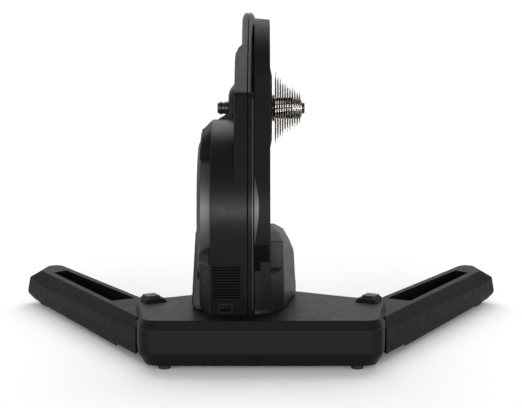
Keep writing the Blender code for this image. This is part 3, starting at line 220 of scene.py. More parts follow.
def drum_arc(low, high, radius=DRUM_R):
    """Side view of a circle about the drum's axis; elevation 0 is its rearmost point, 90 degrees its top."""
    return arc(DRUM, radius, math.pi - low, math.pi - high)


def drum_point(elevation, radius=DRUM_R):
    """One point of such a circle."""
    return drum_arc(elevation, elevation, radius)[0]


def drum_sections(degrees, across, radii):
    """Sections of a band swept round the drum's axis, one for each elevation.

    `across` holds the x of a section's points and `radii`, a row for each section, their distance.
    """
    turn = math.pi - np.radians(degrees)[:, None]
    away = DRUM[0] + radii * np.cos(turn), DRUM[1] + radii * np.sin(turn)
    return np.stack((np.broadcast_to(across, away[0].shape), *away), axis=-1)


def hull(first, first_r, second, second_r, grow=0.0):
    """Outline of a belt round two circles: two arcs that end where the shared tangents touch."""
    line = np.subtract(second, first)
    along = math.atan2(line[1], line[0])
    lift = math.acos((first_r - second_r) / math.hypot(*line))
    far = arc(first, first_r + grow, along + lift, along - lift + math.tau)
    near = arc(second, second_r + grow, along - lift, along + lift)
    return np.concatenate((far, near))


# Meshes

class Shape:
    """Points and faces gathered from one or more closed skins."""

    def __init__(self):
        self.points, self.faces = [], []

    def add(self, points, faces):
        start = sum(len(p) for p in self.points)
        self.points.append(np.asarray(points, float).reshape(-1, 3))
        self.faces += [[start + i for i in face] for face in faces]
        return self


def grid_faces(rows, columns, wrap_rows=False):
    """Four-sided faces between neighbouring rows of a grid whose columns wrap round."""
    top = rows if wrap_rows else rows - 1
    r, c = np.meshgrid(np.arange(top), np.arange(columns), indexing="ij")
    after, beside = (r + 1) % rows, (c + 1) % columns
    corners = (r * columns + c, r * columns + beside, after * columns + beside, after * columns + c)
    return np.stack(corners, axis=-1).reshape(-1, 4).tolist()


def skin(rings, shape=None):
    """A solid whose surface runs through stacked outlines, closed by a flat face at each end."""
    rings = np.asarray(rings, float)
    rows, columns = rings.shape[:2]
    faces = grid_faces(rows, columns)
    faces += [list(range(columns))[::-1], list(range((rows - 1) * columns, rows * columns))]
    return (shape or Shape()).add(rings, faces)


def stacked(rings, easing, steps=4, shape=None):
    """A solid through stacked outlines, each of them eased by its own reach into its neighbours."""
    return skin(eased(np.array(rings), easing, steps, closed=False), shape)


def hoop(loops, shape=None):
    """A solid ring: the surface through a closed series of outlines, such as outside, rim, inside, rim."""
    loops = np.asarray(loops, float)
    return (shape or Shape()).add(loops, grid_faces(*loops.shape[:2], wrap_rows=True))


def moulded(corners, reach, stops, place=on_level, steps=6, shape=None):
    """A solid through insets of one outline whose corners are eased by `reach`.

    A stop is (where, inset), or (where, inset, easing) where the surface bends.
    """
    rings = [place(eased(inset(corners, stop[1]), reach, steps), stop[0]) for stop in stops]
    return stacked(rings, [stop[2] if len(stop) > 2 else 0.0 for stop in stops], shape=shape)


def slab(corners, low, high, rims, reach=0.0, place=on_side, shape=None):
    """A flat outline with thickness; its corners are eased by `reach` and its two rims by `rims`."""
    stops = ((low, 2.1 * rims[0]), (low, 0.0, rims[0]), (high, 0.0, rims[1]), (high, 2.1 * rims[1]))
    return moulded(corners, reach, stops, place, 4, shape)


def block(corners, low, high, place=on_side, reach=0.0, shape=None):
    """A slab with sharp rims, for cuts and for lumps that are joined on."""
    return slab(corners, low, high, (0.0, 0.0), reach, place, shape)


def tube(start, stop, outer, inner=0.0):
    """Profile for turned(): a tube, or a bar where there is no inner radius."""
    return (start, inner), (start, outer), (stop, outer), (stop, inner)


def turned(profile, centre, reach, count=128, upright=False, shape=None):
    """A closed profile of (place along the axis, radius) swept round an X axis, or round Z if upright.

    Point (a, r) at angle w goes to a along the axis and (r cos w, r sin w) across it.
    """
    profile = eased(profile, reach, 3)
    turn = np.linspace(0.0, math.tau, count, endpoint=False)[None, :]
    along = np.repeat(profile[:, :1], count, axis=1)
    across = profile[:, 1:] * np.cos(turn), profile[:, 1:] * np.sin(turn)
    if upright:
        points = np.stack((centre[0] + across[0], centre[1] + across[1], along), axis=-1)
    else:
        points = np.stack((along, centre[0] + across[0], centre[1] + across[1]), axis=-1)
    return hoop(points, shape)


def shade(made, crease):
    """Smooth shading, with creases kept where faces meet at more than `crease` degrees."""
    made.data.polygons.foreach_set("use_smooth", np.ones(len(made.data.polygons), bool))
    made.data.set_sharp_from_angle(angle=math.radians(crease))


def piece(name, shape, material, body="frame", nodes=(), crease=40.0):
    """Make a shape a mesh object at the origin that rides on a body and stands for CAD nodes.

    Without a material it is a cutter or the floor, and with body None it rides on nothing yet.
    """
    mesh = bpy.data.meshes.new(name)
    mesh.from_pydata(np.concatenate(shape.points).tolist(), [], shape.faces)
    tidy = bmesh.new()
    tidy.from_mesh(mesh)
    bmesh.ops.remove_doubles(tidy, verts=tidy.verts, dist=WELD)
    bmesh.ops.dissolve_degenerate(tidy, edges=tidy.edges, dist=WELD)
    bmesh.ops.recalc_face_normals(tidy, faces=tidy.faces)
    tidy.to_mesh(mesh)
    tidy.free()
    made = bpy.data.objects.new(name, mesh)
    bpy.context.scene.collection.objects.link(made)
    if material is not None:
        mesh.materials.append(material)
        shade(made, crease)
        made.modifiers.new("even_normals", "WEIGHTED_NORMAL").keep_sharp = True
        if body:
            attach(made, body)
        if nodes:
            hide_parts(*nodes)
    return made


def carve(made, cutter, operation="DIFFERENCE"):
    """Take a shape away from a piece, or join it to it, and keep the result as the piece's mesh."""
    other = piece("cutter", cutter, None)
    step = made.modifiers.new("carve", "BOOLEAN")
    step.operation, step.solver, step.object = operation, "EXACT", other
    made.modifiers.move(len(made.modifiers) - 1, 0)
    later = [modifier for modifier in made.modifiers if modifier != step]
    for modifier in later:
        modifier.show_viewport = False
    evaluated = made.evaluated_get(bpy.context.evaluated_depsgraph_get())
    result = bpy.data.meshes.new_from_object(evaluated)
    for modifier in later:
        modifier.show_viewport = True
    made.modifiers.remove(step)
    old, made.data = made.data, result
    bpy.data.meshes.remove(old)
    bpy.data.objects.remove(other, do_unlink=True)
    shade(made, CUT_CREASE)


# Materials

# Places of the colour sockets on a mix node, how far roughness swings either way, and the grain's height
MIX_FIRST, MIX_SECOND, MIX_RESULT = 6, 7, 2
ROUGH_SWING = 0.04
BUMP_HEIGHT = 0.0004


def paint(code):
    """Linear colour of an sRGB hex code."""
    parts = np.array([int(code[i:i + 2], 16) for i in (1, 3, 5)]) / 255.0
    linear = np.where(parts <= 0.04045, parts / 12.92, ((parts + 0.055) / 1.055) ** 2.4)
    return (*linear.tolist(), 1.0)


def add(tree, kind, links=None, **settings):
    """Add a shader node whose kind is named without its prefix.

    Settings name its properties or sockets; links name sockets and what feeds them.
    """
    made = tree.nodes.new("ShaderNode" + kind)
    for key, value in settings.items():
        if hasattr(made, key):
            setattr(made, key, value)
        else:
            made.inputs[key.replace("_", " ")].default_value = value
    for key, source in (links or {}).items():
        tree.links.new(source, made.inputs[key])
    return made


def finish_of(name, dark, light, roughness, *, bump, metallic=0.0, specular=0.5, grain_mm=0.5,
              mottle_mm=14.0, turned_about=None):
    """A surface with fine grain as bump, broad mottling of its colour and its roughness.

    grain_mm is the size of the grain and mottle_mm that of the mottling. With turned_about, a point
    (y, z), the grain runs in rings round the X axis through it, as a lathe leaves it.
    """
    made = bpy.data.materials.new(name)
    made.use_nodes = True
    tree = made.node_tree
    shader = tree.nodes["Principled BSDF"]
    shader.inputs["Metallic"].default_value = metallic
    shader.inputs["Specular IOR Level"].default_value = specular
    place = add(tree, "TexCoord").outputs["Object"]
    mottling = {"Scale": 1000.0 / mottle_mm, "Detail": 3.0, "Roughness": 0.55}
    grain = {"Scale": 1000.0 / grain_mm, "Detail": 2.0, "Roughness": 0.6}
    broad = add(tree, "TexNoise", {"Vector": place}, **mottling)
    if turned_about is None:
        fine = add(tree, "TexNoise", {"Vector": place}, **grain)
    else:
        moved = add(tree, "Mapping", {"Vector": place}, vector_type="POINT",
                    Location=(0.0, -turned_about[0], -turned_about[1]))
        apart = add(tree, "SeparateXYZ", {"Vector": moved.outputs["Vector"]})
        flat = add(tree, "CombineXYZ", {"Y": apart.outputs["Y"], "Z": apart.outputs["Z"]})
        away = add(tree, "VectorMath", {0: flat.outputs["Vector"]}, operation="LENGTH")
        both = add(tree, "Math", {0: away.outputs["Value"], 1: apart.outputs["X"]},
                   operation="ADD")
        fine = add(tree, "TexNoise", {"W": both.outputs["Value"]}, noise_dimensions="1D", **grain)
    colour = add(tree, "Mix", {"Factor": broad.outputs["Fac"]}, data_type="RGBA")
    colour.inputs[MIX_FIRST].default_value = paint(dark)
    colour.inputs[MIX_SECOND].default_value = paint(light)
    tree.links.new(colour.outputs[MIX_RESULT], shader.inputs["Base Color"])
    rough = add(tree, "MapRange", {"Value": broad.outputs["Fac"]}, From_Min=0.3, From_Max=0.7,
                To_Min=roughness - ROUGH_SWING, To_Max=roughness + ROUGH_SWING)
    tree.links.new(rough.outputs["Result"], shader.inputs["Roughness"])
    relief = add(tree, "Bump", {"Height": fine.outputs["Fac"]}, Strength=bump, Distance=BUMP_HEIGHT)
    tree.links.new(relief.outputs["Normal"], shader.inputs["Normal"])
    return made


# Injection-moulded ABS, spark-eroded mould: near black, an even satin with a pebble grain under 0.5 mm
ABS = finish_of("black_moulded_abs", "#0b0b0c", "#0e0e0f", 0.48, specular=0.085, grain_mm=0.45, bump=0.1)
# The same plastic on the legs, made a deeper black with less sheen: painted shade that darkens the legs
# against the base
SHADED_LEG_ABS = finish_of("black_moulded_abs_leg_painted_shade", "#09090a", "#0c0c0d", 0.5, specular=0.058, bump=0.1)
# Die-cast aluminium under matt black powder coat: dark with a slight orange peel of 1.4 mm
POWDER = finish_of("black_powder_coat", "#0d0d0e", "#101011", 0.32, specular=0.1, grain_mm=1.4, bump=0.04)
# Powder coat and plastic rubbed smooth along an edge: the same black with more shine
EDGE = finish_of("black_polished_edge", "#0c0c0d", "#0f0f10", 0.42, specular=0.55, grain_mm=0.6, bump=0.02)
# Glass-filled nylon of the pedestal covers, latch buttons and mains inlet: dull and slightly grey
NYLON = finish_of("black_glass_nylon", "#0f0f10", "#131314", 0.45, specular=0.21, grain_mm=0.6, bump=0.08)
# Unpolished nylon behind and between the sprockets: black, without shine
MATT_NYLON = finish_of("black_matt_nylon", "#101011", "#141415", 0.8, specular=0.15, grain_mm=0.6, bump=0.08)
# Turned steel blackened with oil: a dull sheen, with the lathe's rings as grain
FLYWHEEL_STEEL = finish_of("blackened_turned_steel", "#4a4a4b", "#515152", 0.52, metallic=1.0, grain_mm=0.35,
                           bump=0.05, turned_about=DRUM)
# Zinc-plated or ground steel: pins, axles, nut, springs, bearings, lockring and contacts
STEEL = finish_of("ground_steel", "#9a9a9b", "#a8a8a7", 0.28, metallic=1.0, grain_mm=0.4, bump=0.03)
# Phosphated steel: floor plate, brake core, idler
DARK_STEEL = finish_of("phosphated_steel", "#3c3c3e", "#474749", 0.42, metallic=1.0, bump=0.05)
# Turned aluminium of the small pulley and brake rotor: rings left by the tool
ALUMINIUM = finish_of("turned_aluminium", "#b4b5b8", "#c2c3c5", 0.32, metallic=1.0, bump=0.04,
                      turned_about=DRUM)
# Nickel-plated stamped steel, slightly brown with chain oil
NICKEL = finish_of("nickel_plated_steel", "#7d7570", "#8b837e", 0.29, metallic=1.0, grain_mm=0.6, bump=0.03,
                   mottle_mm=6.0)
# Anodised aluminium of the end caps, freehub and hub pulley: black with a metal sheen
ANODISED = finish_of("black_anodised_aluminium", "#1a1a1c", "#232325", 0.34, metallic=0.4, grain_mm=0.4,
                     bump=0.04, turned_about=AXLE)
# Rubber of the feet: matt, with a coarse grain
RUBBER = finish_of("black_rubber", "#121212", "#181818", 0.75, specular=0.35, grain_mm=0.8, bump=0.18)
# Near-black strip without sheen along the lower edge of the belt cover: painted shade where the cover's
# underside turns away into shadow
SHADE_STRIP_BLACK = finish_of("black_painted_shade_strip", "#070707", "#0a0a0a", 0.95, specular=0.03, grain_mm=0.6, bump=0.1)
# Enamelled copper wire of the coils: wire about 0.8 mm thick
COPPER = finish_of("enamelled_copper", "#8a4423", "#a3592f", 0.35, metallic=1.0, grain_mm=0.8, bump=0.2)
# Glass-fibre circuit board under solder mask
BOARD = finish_of("solder_mask_board", "#10381f", "#174a2b", 0.4, grain_mm=1.2, bump=0.05)
# Ribbed rubber belt
BELT = finish_of("ribbed_rubber_belt", "#141414", "#1a1a1a", 0.62, specular=0.35, grain_mm=1.0, bump=0.15)


# Base

def leg_plan(side, rows, centre=HINGE):
    """World plan of points on an opened leg: y runs out along it from its pin and x towards the middle."""
    rows = np.asarray(rows, float)
    across = rows[:, 0] * math.cos(LEG_OPEN) - rows[:, 1] * math.sin(LEG_OPEN)
    ahead = rows[:, 0] * math.sin(LEG_OPEN) + rows[:, 1] * math.cos(LEG_OPEN)
    return np.column_stack((side * (centre[0] - across), centre[1] + ahead))


def latch_square(side, half):
    """Corners of a square about a latch, turned like its leg and kept on the base's top."""
    corners = leg_plan(side, np.array(((-1, -1), (1, -1), (1, 1), (-1, 1))) * half, LATCH)
    edge = LATCH[0] + 0.0175
    corners[:, 0] = np.clip(corners[:, 0], -edge, edge)
    return corners


def base_plan():
    """Corners of the base's plan and their easings, from its right rear round the front to its left rear."""
    right = np.array(((0.0213, BASE_REAR, 0.0235), (0.028, -0.183, 0.022), (0.0365, -0.13, 0.02),
                      (0.0385, -0.1, 0.01), (0.0355, -0.083, 0.006), (0.0275, -0.077, 0.006),
                      (-0.0035, -0.079, 0.02), (0.03 - BASE_HALF, -0.018, 0.03)))
    right[:, 0] += BASE_HALF
    both = np.concatenate((right, right[::-1] * (-1, 1, 1)))
    return both[:, :2], both[:, 2]


def build_base():
    """Hollow moulding with a mouth for each leg and a raised seat for each latch, and two rubber feet."""
    plan, easing = base_plan()
    outside = ((0.0053, 0.011), (0.0053, 0.01, 0.0008), (0.0235, 0.0, 0.003), (0.0585, 0.0, 0.0012),
               (0.0592, 0.0014, 0.0006), (BASE_TOP, 0.0075, 0.0016), (BASE_TOP, 0.011))
    inside = ((-0.002, 0.0115), (0.0053, 0.0115), (0.0235, 0.004), (0.0585, 0.004),
              (BASE_TOP - 0.004, 0.0115))
    shell = piece("base_moulding", moulded(plan, easing, outside, steps=10), ABS, nodes=("base_shell",))
    carve(shell, moulded(plan, easing, inside))

    # A mouth is shallow round its pin and deep in front of it. Above it hang the latch's seat and the
    # pin's boss, and on top rises the mound that the latch's button sits in.
    below, above, mouth_top = -0.01, 0.09, 0.0622
    lump_low, lump_high, mound_top = 0.0628, BASE_TOP - 0.001, 0.0762
    beyond, shallow, deep = BASE_HALF + 0.0805, BASE_HALF + 0.0135, BASE_HALF - 0.0365
    rear, middle, front = HINGE[1] - 0.0455, -0.097, -0.03
    for side, _ in SIDES:
        mouth = np.array(((beyond, rear), (shallow, rear), (shallow, middle), (deep, middle), (deep, front),
                          (beyond, front)))
        carve(shell, block(mouth * (side, 1), below, mouth_top, on_level))
        carve(shell, block(latch_square(side, 0.0145), lump_low, lump_high, on_level, 0.002), "UNION")
        boss = circle((side * HINGE[0], HINGE[1]), 0.012, 48)
        carve(shell, block(boss, lump_low, lump_high, on_level), "UNION")
        # (height, half width)
        stops = ((BASE_TOP - 0.002, 0.0195), (BASE_TOP + 0.0002, 0.0193), (mound_top, 0.0147),
                 (mound_top, 0.0125))
        mound = [on_level(eased(latch_square(side, half), 0.005, 6), z) for z, half in stops]
        carve(shell, stacked(mound, (0.0, 0.0015, 0.0012, 0.0)), "UNION")
        pocket_low, stem_low, stem_r = 0.0648, 0.055, 0.0036
        carve(shell, block(latch_square(side, 0.0116), pocket_low, above, on_level, 0.0024))
        stem = circle((side * LATCH[0], LATCH[1]), stem_r, 32)
        carve(shell, block(stem, stem_low, above, on_level))

    for side, word in SIDES:
        foot = turned(((0.005, 0.0), (0.005, 0.009), (0.0, 0.0082), (0.0, 0.0)),
                      (side * (BASE_HALF - 0.0145), -0.2275), 0.0007, 64, upright=True)
        piece(f"{word}_rear_rubber_foot", foot, RUBBER, nodes=(f"{word}_rear_foot",))


# Legs

def leg_corners(root_half, tip_half, root_z, tip_z, lean, rise, heel):
    """Eleven corners of a leg at one level: plan points, heights and easings.

    Past the bend near the tip the level also moves by `rise`. `lean` pushes its end outwards and `heel`
    its root backwards.
    """
    neck, flare, tip = 0.0382, 2.1, 0.035
    shoulder = (root_half * 0.9, neck + flare * root_half * 0.9)
    near = min(shoulder[0], 0.033)
    back = neck - flare * near
    bend = LEG_LENGTH - 0.033
    inner_start = (root_half, shoulder[1] + 0.004)
    inner_end = (tip_half, LEG_LENGTH + tip * 0.62 + lean * 0.3)
    outer_start = (-root_half, back + 0.004 - heel)
    outer_end = (-tip_half, LEG_LENGTH + lean)

    def between(start, end):
        return start[0] + (end[0] - start[0]) * (bend - start[1]) / (end[1] - start[1])

    # (inwards, outwards along the leg, rise, easing)
    rows = np.array((
        (*outer_start, 0.0, 0.002), (-(near + root_half) / 2, back + 0.002 - heel * 0.12, 0.0, 0.001),
        (-near, back, 0.0, 0.002), (*shoulder, 0.0, 0.004), (*inner_start, 0.0, 0.004),
        (between(inner_start, inner_end), bend, 0.0, 0.02), (*inner_end, rise, 0.006),
        (tip_half * 0.83, LEG_LENGTH + tip * 0.92 + lean * 0.3, rise, 0.006),
        (tip_half * 0.15, LEG_LENGTH + tip + lean * 0.4, rise, 0.01), (*outer_end, rise, 0.003),
        (between(outer_start, outer_end), bend, 0.0, 0.02)))
    heights = root_z + (tip_z - root_z) / LEG_LENGTH * rows[:, 1] + rows[:, 2]
    return rows[:, :2], heights, rows[:, 3]


def build_leg(side, word):
    """A leg with its hand slot and rubber foot, and the latch button over its root with its spring."""
    pin, latch = (side * HINGE[0], HINGE[1]), (side * LATCH[0], LATCH[1])
    # (root half width, tip half width, root height, tip height, lean, rise, heel, easing)
    levels = (
        (0.0355, 0.0275, 0.0065, 0.008, 0.006, 0.001, 0.01, 0.0),
        (0.04, 0.0325, 0.0065, 0.008, 0.011, 0.001, 0.0125, 0.0016),
        (0.042, 0.0385, 0.015, 0.0215, 0.029, -0.0035, 0.0125, 0.006),
        (0.042, 0.0375, 0.048, 0.041, 0.018, 0.0055, 0.0125, 0.0016),
        (0.0295, 0.0235, 0.061, 0.0588, 0.0, 0.0, 0.0, 0.0012),
        (0.027, 0.021, 0.061, 0.0588, -0.003, 0.0, -0.002, 0.0),
    )
    rings = []
    for *sizes, _ in levels:
        plan, heights, easing = leg_corners(*sizes)
        rings.append(eased(np.column_stack((leg_plan(side, plan), heights)), easing, 6))
    # The legs take the darker copy of the base's plastic: painted shade
    leg = piece(f"{word}_leg_moulding", stacked(rings, [level[-1] for level in levels]), SHADED_LEG_ABS,
                f"{word}_leg_body", (f"{word}_leg",))
    under = leg_plan(side, ((-0.06, -0.08), (0.06, -0.08), (0.06, 0.241), (-0.06, -0.011)))
    carve(leg, block(under, -0.002, 0.0114, on_level))
    barrel = np.concatenate((arc((0.0, 0.0), 0.0298, math.pi, math.tau, math.radians(6)),
                             ((0.034, 0.125), (-0.03, 0.008))))
    carve(leg, block(leg_plan(side, barrel), 0.0122, 0.0578, on_level), "UNION")
    carve(leg, block(circle(pin, 0.0063, 48), -0.01, 0.1, on_level))
    slot = leg_plan(side, ((-0.019, 0.099), (0.021, 0.099), (0.014, 0.365), (-0.014, 0.355)))
    carve(leg, moulded(slot, 0.003, ((-0.01, 0.001), (0.059, 0.001), (0.07, -0.0016))))

    pad = leg_plan(side, rectangle(-0.024, 0.024, LEG_LENGTH - 0.024, LEG_LENGTH + 0.014))
    pad = moulded(pad, 0.0098, ((0.0, 0.003), (0.0, 0.0014), (0.0013, 0.0), (0.0075, 0.0)), steps=8)
    piece(f"{word}_leg_rubber_foot", pad, RUBBER, f"{word}_leg_body", (f"{word}_leg_foot",))

    # (height, half width, easing)
    stops = ((LATCH_TOP - 0.0087, 0.01, 0.0), (LATCH_TOP - 0.0087, 0.011, 0.0006),
             (LATCH_TOP, 0.0104, 0.002), (LATCH_TOP - 0.0003, 0.006, 0.0))
    rings = [on_level(eased(latch_square(side, half), 0.003, 8), z) for z, half, _ in stops]
    button = stacked(rings, [stop[2] for stop in stops], 5)
    turned(tube(0.073, 0.066, 0.003), latch, 0.0004, 32, True, button)
    piece(f"{word}_latch_key", button, NYLON, f"{word}_latch_body", (f"{word}_latch_button",))

    # Cone spring: its wire climbs two turns as the coil narrows
    bottom, rise, wide, narrowing, wire = 0.0656, 0.0049, 0.0052, 0.0016, 0.0004
    turn = np.linspace(0.0, 2 * math.tau, 97)[:, None]
    ring = np.linspace(0.0, math.tau, 12, endpoint=False)
    share = turn / turn[-1]
    reach = wide - narrowing * share + wire * np.cos(ring)
    wound = np.stack((latch[0] + reach * np.cos(turn), latch[1] + reach * np.sin(turn),
                      bottom + rise * share + wire * np.sin(ring)), axis=-1)
    coil = piece(f"{word}_latch_coil", skin(wound), STEEL, None, (f"{word}_latch_spring",))
    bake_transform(coil)


# Tower

def tower_side():
    """Side view of the tower as corners with their easing: leaning face, drum, straight rear, crest, nose."""
    rows = [(TOE_Y, FOOT_Z, 0.0)] + [(*point, 0.0) for point in drum_arc(-LEAN, STRAIGHT_FROM)]
    rows += [(*CREST_FOOT, 0.0055), (*CREST_HEAD, 0.012), (0.056, CREST_HEAD[1], 0.012),
             (0.096, 0.44, 0.03), (0.104, 0.352, 0.03), (0.086, 0.29, 0.03), (*drum_point(BELLY), 0.02),
             (FRONT_FOOT_Y, FOOT_Z, 0.0)]
    return np.array(rows)


def below_thin(rows, top):
    """The tower's corners with its crest cut off at height `top` of its sloping rear edge."""
    foot = next(index for index, row in enumerate(rows) if abs(row[1] - CREST_FOOT[1]) < 1e-6)
    share = (top - CREST_FOOT[1]) / (CREST_HEAD[1] - CREST_FOOT[1])
    rear = CREST_FOOT[0] + (CREST_HEAD[0] - CREST_FOOT[0]) * share
    cut = ((rear, top, 0.004), (0.099, top - 0.033, 0.006))
    return np.concatenate((rows[:foot + 1], cut, rows[foot + 4:]))


def lowered(outline, amount):
    """The crest brought down by a share of `amount` that grows from 0 to 1 towards its top."""
    start = 0.43
    share = np.clip((outline[:, 1] - start) / (CREST_HEAD[1] - start), 0.0, 1.0)
    return outline - np.column_stack((np.zeros(len(outline)), amount * share))


def build_tower():
    """Two half castings that meet at a seam, the left one with the resistance drum, and a rubbed edge."""
    rows = tower_side()
    side, easing = rows[:, :2], rows[:, 2]

    def half(stops):
        rings = [on_side(eased(lowered(inset(side, stop[1]), stop[2]), easing, 6), stop[0]) for stop in stops]
        return stacked(rings, [stop[3] for stop in stops])

    # (x, inset, how far the crest comes down, easing)
    left = ((THIN_LEFT, 0.006, 0.01, 0.0), (THIN_LEFT, 0.0, 0.01, 0.0016),
            (THIN_LEFT + 0.0036, 0.0, 0.0004, 0.0024), (SEAM - 0.0002, 0.0, 0.0, 0.0014),
            (SEAM - 0.0002, 0.004, 0.0, 0.0))
    right = ((SEAM + 0.0002, 0.004, 0.0, 0.0), (SEAM + 0.0002, 0.0, 0.0, 0.0014),
             (BODY_RIGHT - 0.0038, 0.0, 0.0002, 0.002), (BODY_RIGHT, 0.0, 0.006, 0.0022),
             (BODY_RIGHT, 0.006, 0.006, 0.0))
    shell = piece("tower_left_casting", half(left), POWDER, nodes=("housing_left_half",))
    # (x, height of the cut crest, inset, easing)
    stops = ((BODY_LEFT, 0.4264, 0.006, 0.0), (BODY_LEFT, 0.4264, 0.0, 0.0026),
             (BODY_LEFT + 0.001, 0.433, 0.0, 0.002), (BODY_LEFT + 0.0046, 0.4405, 0.0, 0.002),
             (THIN_LEFT + 0.001, 0.4457, 0.0, 0.0), (THIN_LEFT + 0.005, 0.4457, 0.0, 0.0))
    rings = []
    for x, top, depth, _ in stops:
        lower = below_thin(rows, top)
        rings.append(on_side(eased(inset(lower[:, :2], depth), lower[:, 2], 6), x))
    carve(shell, stacked(rings, [stop[3] for stop in stops]), "UNION")
    rim = np.concatenate(([(TOE_Y, FOOT_Z)], drum_arc(-LEAN, BELLY), [(FRONT_FOOT_Y, FOOT_Z)]))
    carve(shell, slab(rim, HOUSING_LEFT, BODY_LEFT + 0.004, (0.001, 0.0)), "UNION")
    other = piece("tower_right_casting", half(right), POWDER, nodes=("housing_right_half",))
    low, head = FOOT_Z + 0.0068, (-0.1755, 0.3731)
    line = np.concatenate(([(lean_y(low), low)], drum_arc(-LEAN, STRAIGHT_FROM), [head]))
    piece("tower_edge_line", edge_strip(line, -0.0124, -0.0108), EDGE)
    return shell, other


def build_vents(left_shell, right_shell):
    """Twelve slots through the grille, each running out as a shallow groove across the rest of the face."""
    left, right = -0.068, -0.028
    plate = left, right, VENT_LOW - 0.004, VENT_LOW + VENT_PITCH * VENT_COUNT + 0.002
    carve(left_shell, block(rectangle(*plate, FIT), -0.014, 0.004, on_lean, 0.0015))
    louvres = slab(rectangle(*plate), -0.0024, 0.0, (0.0003, 0.0003), 0.0014, on_lean)
    grille = piece("vent_louvres", louvres, ABS, nodes=("vent_grille",))

    def slits(start, stop, deep):
        cut = Shape()
        for low in VENT_LOW + VENT_PITCH * np.arange(VENT_COUNT):
            slit = rectangle(start, stop, low, low + VENT_SLOT + 0.0003)
            block(slit, -deep, 0.002, on_lean, 0.001, cut)
        return cut

    carve(grille, slits(left + 0.0004, right - 0.001, 0.004))
    carve(left_shell, slits(right + 0.0012, SEAM + 0.004, 0.0006))
    carve(right_shell, slits(SEAM - 0.004, BODY_RIGHT - 0.003, 0.0006))


def build_inlet(shell):
    """Mains inlet: its hole in the leaning face, and the socket with its recess."""
    carve(shell, block(rectangle(*INLET, FIT), -0.025, 0.004, on_lean, 0.002))
    body = rectangle(*INLET)
    socket = piece("mains_socket_body", slab(body, -0.018, 0.0006, (0.0004, 0.0007), 0.002, on_lean), NYLON,
                   nodes=("mains_inlet",))
    carve(socket, block(inset(body, 0.003), -0.012, 0.004, on_lean, 0.0022))


def build_guard():
    """Guard over the flywheel: its profile swept from the rear round the top to the front.

    At the rear, below `full` degrees of elevation, the profile falls towards the wheel's rim.
    """
    low, full, start, stop = 46.0, 70.0, 50.0, 207.8
    left, edge, inner = FLY_LEFT + 0.004, HOUSING_LEFT - 0.00005, FLY_R + 0.0012
    profile = eased(((edge, DRUM_R - 0.0005), (left + 0.0023, FLY_R + 0.013), (left, FLY_R + 0.0081),
                     (left, inner), (edge, inner)), (0.0, 0.0012, 0.0012, 0.0006, 0.0), 4)
    degrees = np.linspace(start, stop, 120)
    share = smooth((degrees - low) / (full - low))[:, None]
    guard = skin(drum_sections(degrees, profile[:, 0], inner + (profile[:, 1] - inner) * share))
    screw = tube(left + 0.012, left + 0.0019, 0.0028)
    turned(screw, drum_point(math.radians(84.0), FLY_R + 0.013), 0.0005, 32, shape=guard)
    piece("flywheel_hood", guard, ABS, nodes=("flywheel_guard",))


def build_flywheel():
    """Flywheel with a thin web, its axle and its hexagon nut."""
    web, hub_r, bore_r = (FLY_LEFT + FLY_RIGHT) / 2, 0.022, 0.0088
    profile = ((FLY_RIGHT, FLY_R), (FLY_LEFT + 0.005, FLY_R), (FLY_LEFT, 0.096), (FLY_LEFT, 0.083),
               (web - 0.003, 0.08), (web - 0.003, 0.024), (FLY_LEFT + 0.001, hub_r),
               (FLY_LEFT + 0.001, bore_r), (FLY_RIGHT, bore_r), (FLY_RIGHT, hub_r), (web + 0.003, 0.024),
               (web + 0.003, 0.08), (FLY_RIGHT, 0.083))
    piece("flywheel_disc", turned(profile, DRUM, 0.001, 192), FLYWHEEL_STEEL, "flywheel_body", ("flywheel",))
    piece("flywheel_axle", turned(tube(-0.0935, 0.009, 0.0085), DRUM, 0.0008, 64), STEEL, "flywheel_body",
          ("flywheel_shaft",))
    thick = 0.003
    low = FLY_LEFT + 0.001 - FIT - thick
    outer = eased(circle(DRUM, 0.015, 6), 0.0012, 4) - DRUM
    inner = DRUM + outer * (bore_r / np.linalg.norm(outer, axis=1, keepdims=True))
    loops = [on_side(DRUM + outer * 0.955, low), on_side(DRUM + outer, low + 0.0006),
             on_side(DRUM + outer, low + thick), on_side(inner, low + thick), on_side(inner, low)]
    piece("flywheel_hex_nut", hoop(loops), STEEL, "flywheel_body", ("flywheel_nut",))


# Drive side

def edge_strip(line, left, right, share=1.0):
    """Thin band laid on an edge: a line of (y, z), offset 1 mm inwards and 0.15 mm outwards along its normal.

    `share` narrows the band, for each point of the line, towards its left side.
    """
    along = np.gradient(line, axis=0)
    out = np.column_stack((-along[:, 1], along[:, 0])) / np.linalg.norm(along, axis=1, keepdims=True)
    out *= np.sign(np.sum(out * (line - DRUM), axis=1, keepdims=True))
    rings = []
    for point, way, part in zip(line, out, np.broadcast_to(share, len(line))):
        far = left + (right - left) * part
        rim = (far - left) * 0.05
        section = np.array(((left, -0.001), (left, 0.00005), (left + rim, 0.00015), (far - rim, 0.00015),
                            (far, 0.00005), (far, -0.001)))
        rings.append(np.column_stack((section[:, 0], point + section[:, 1:] * way)))
    return skin(rings)


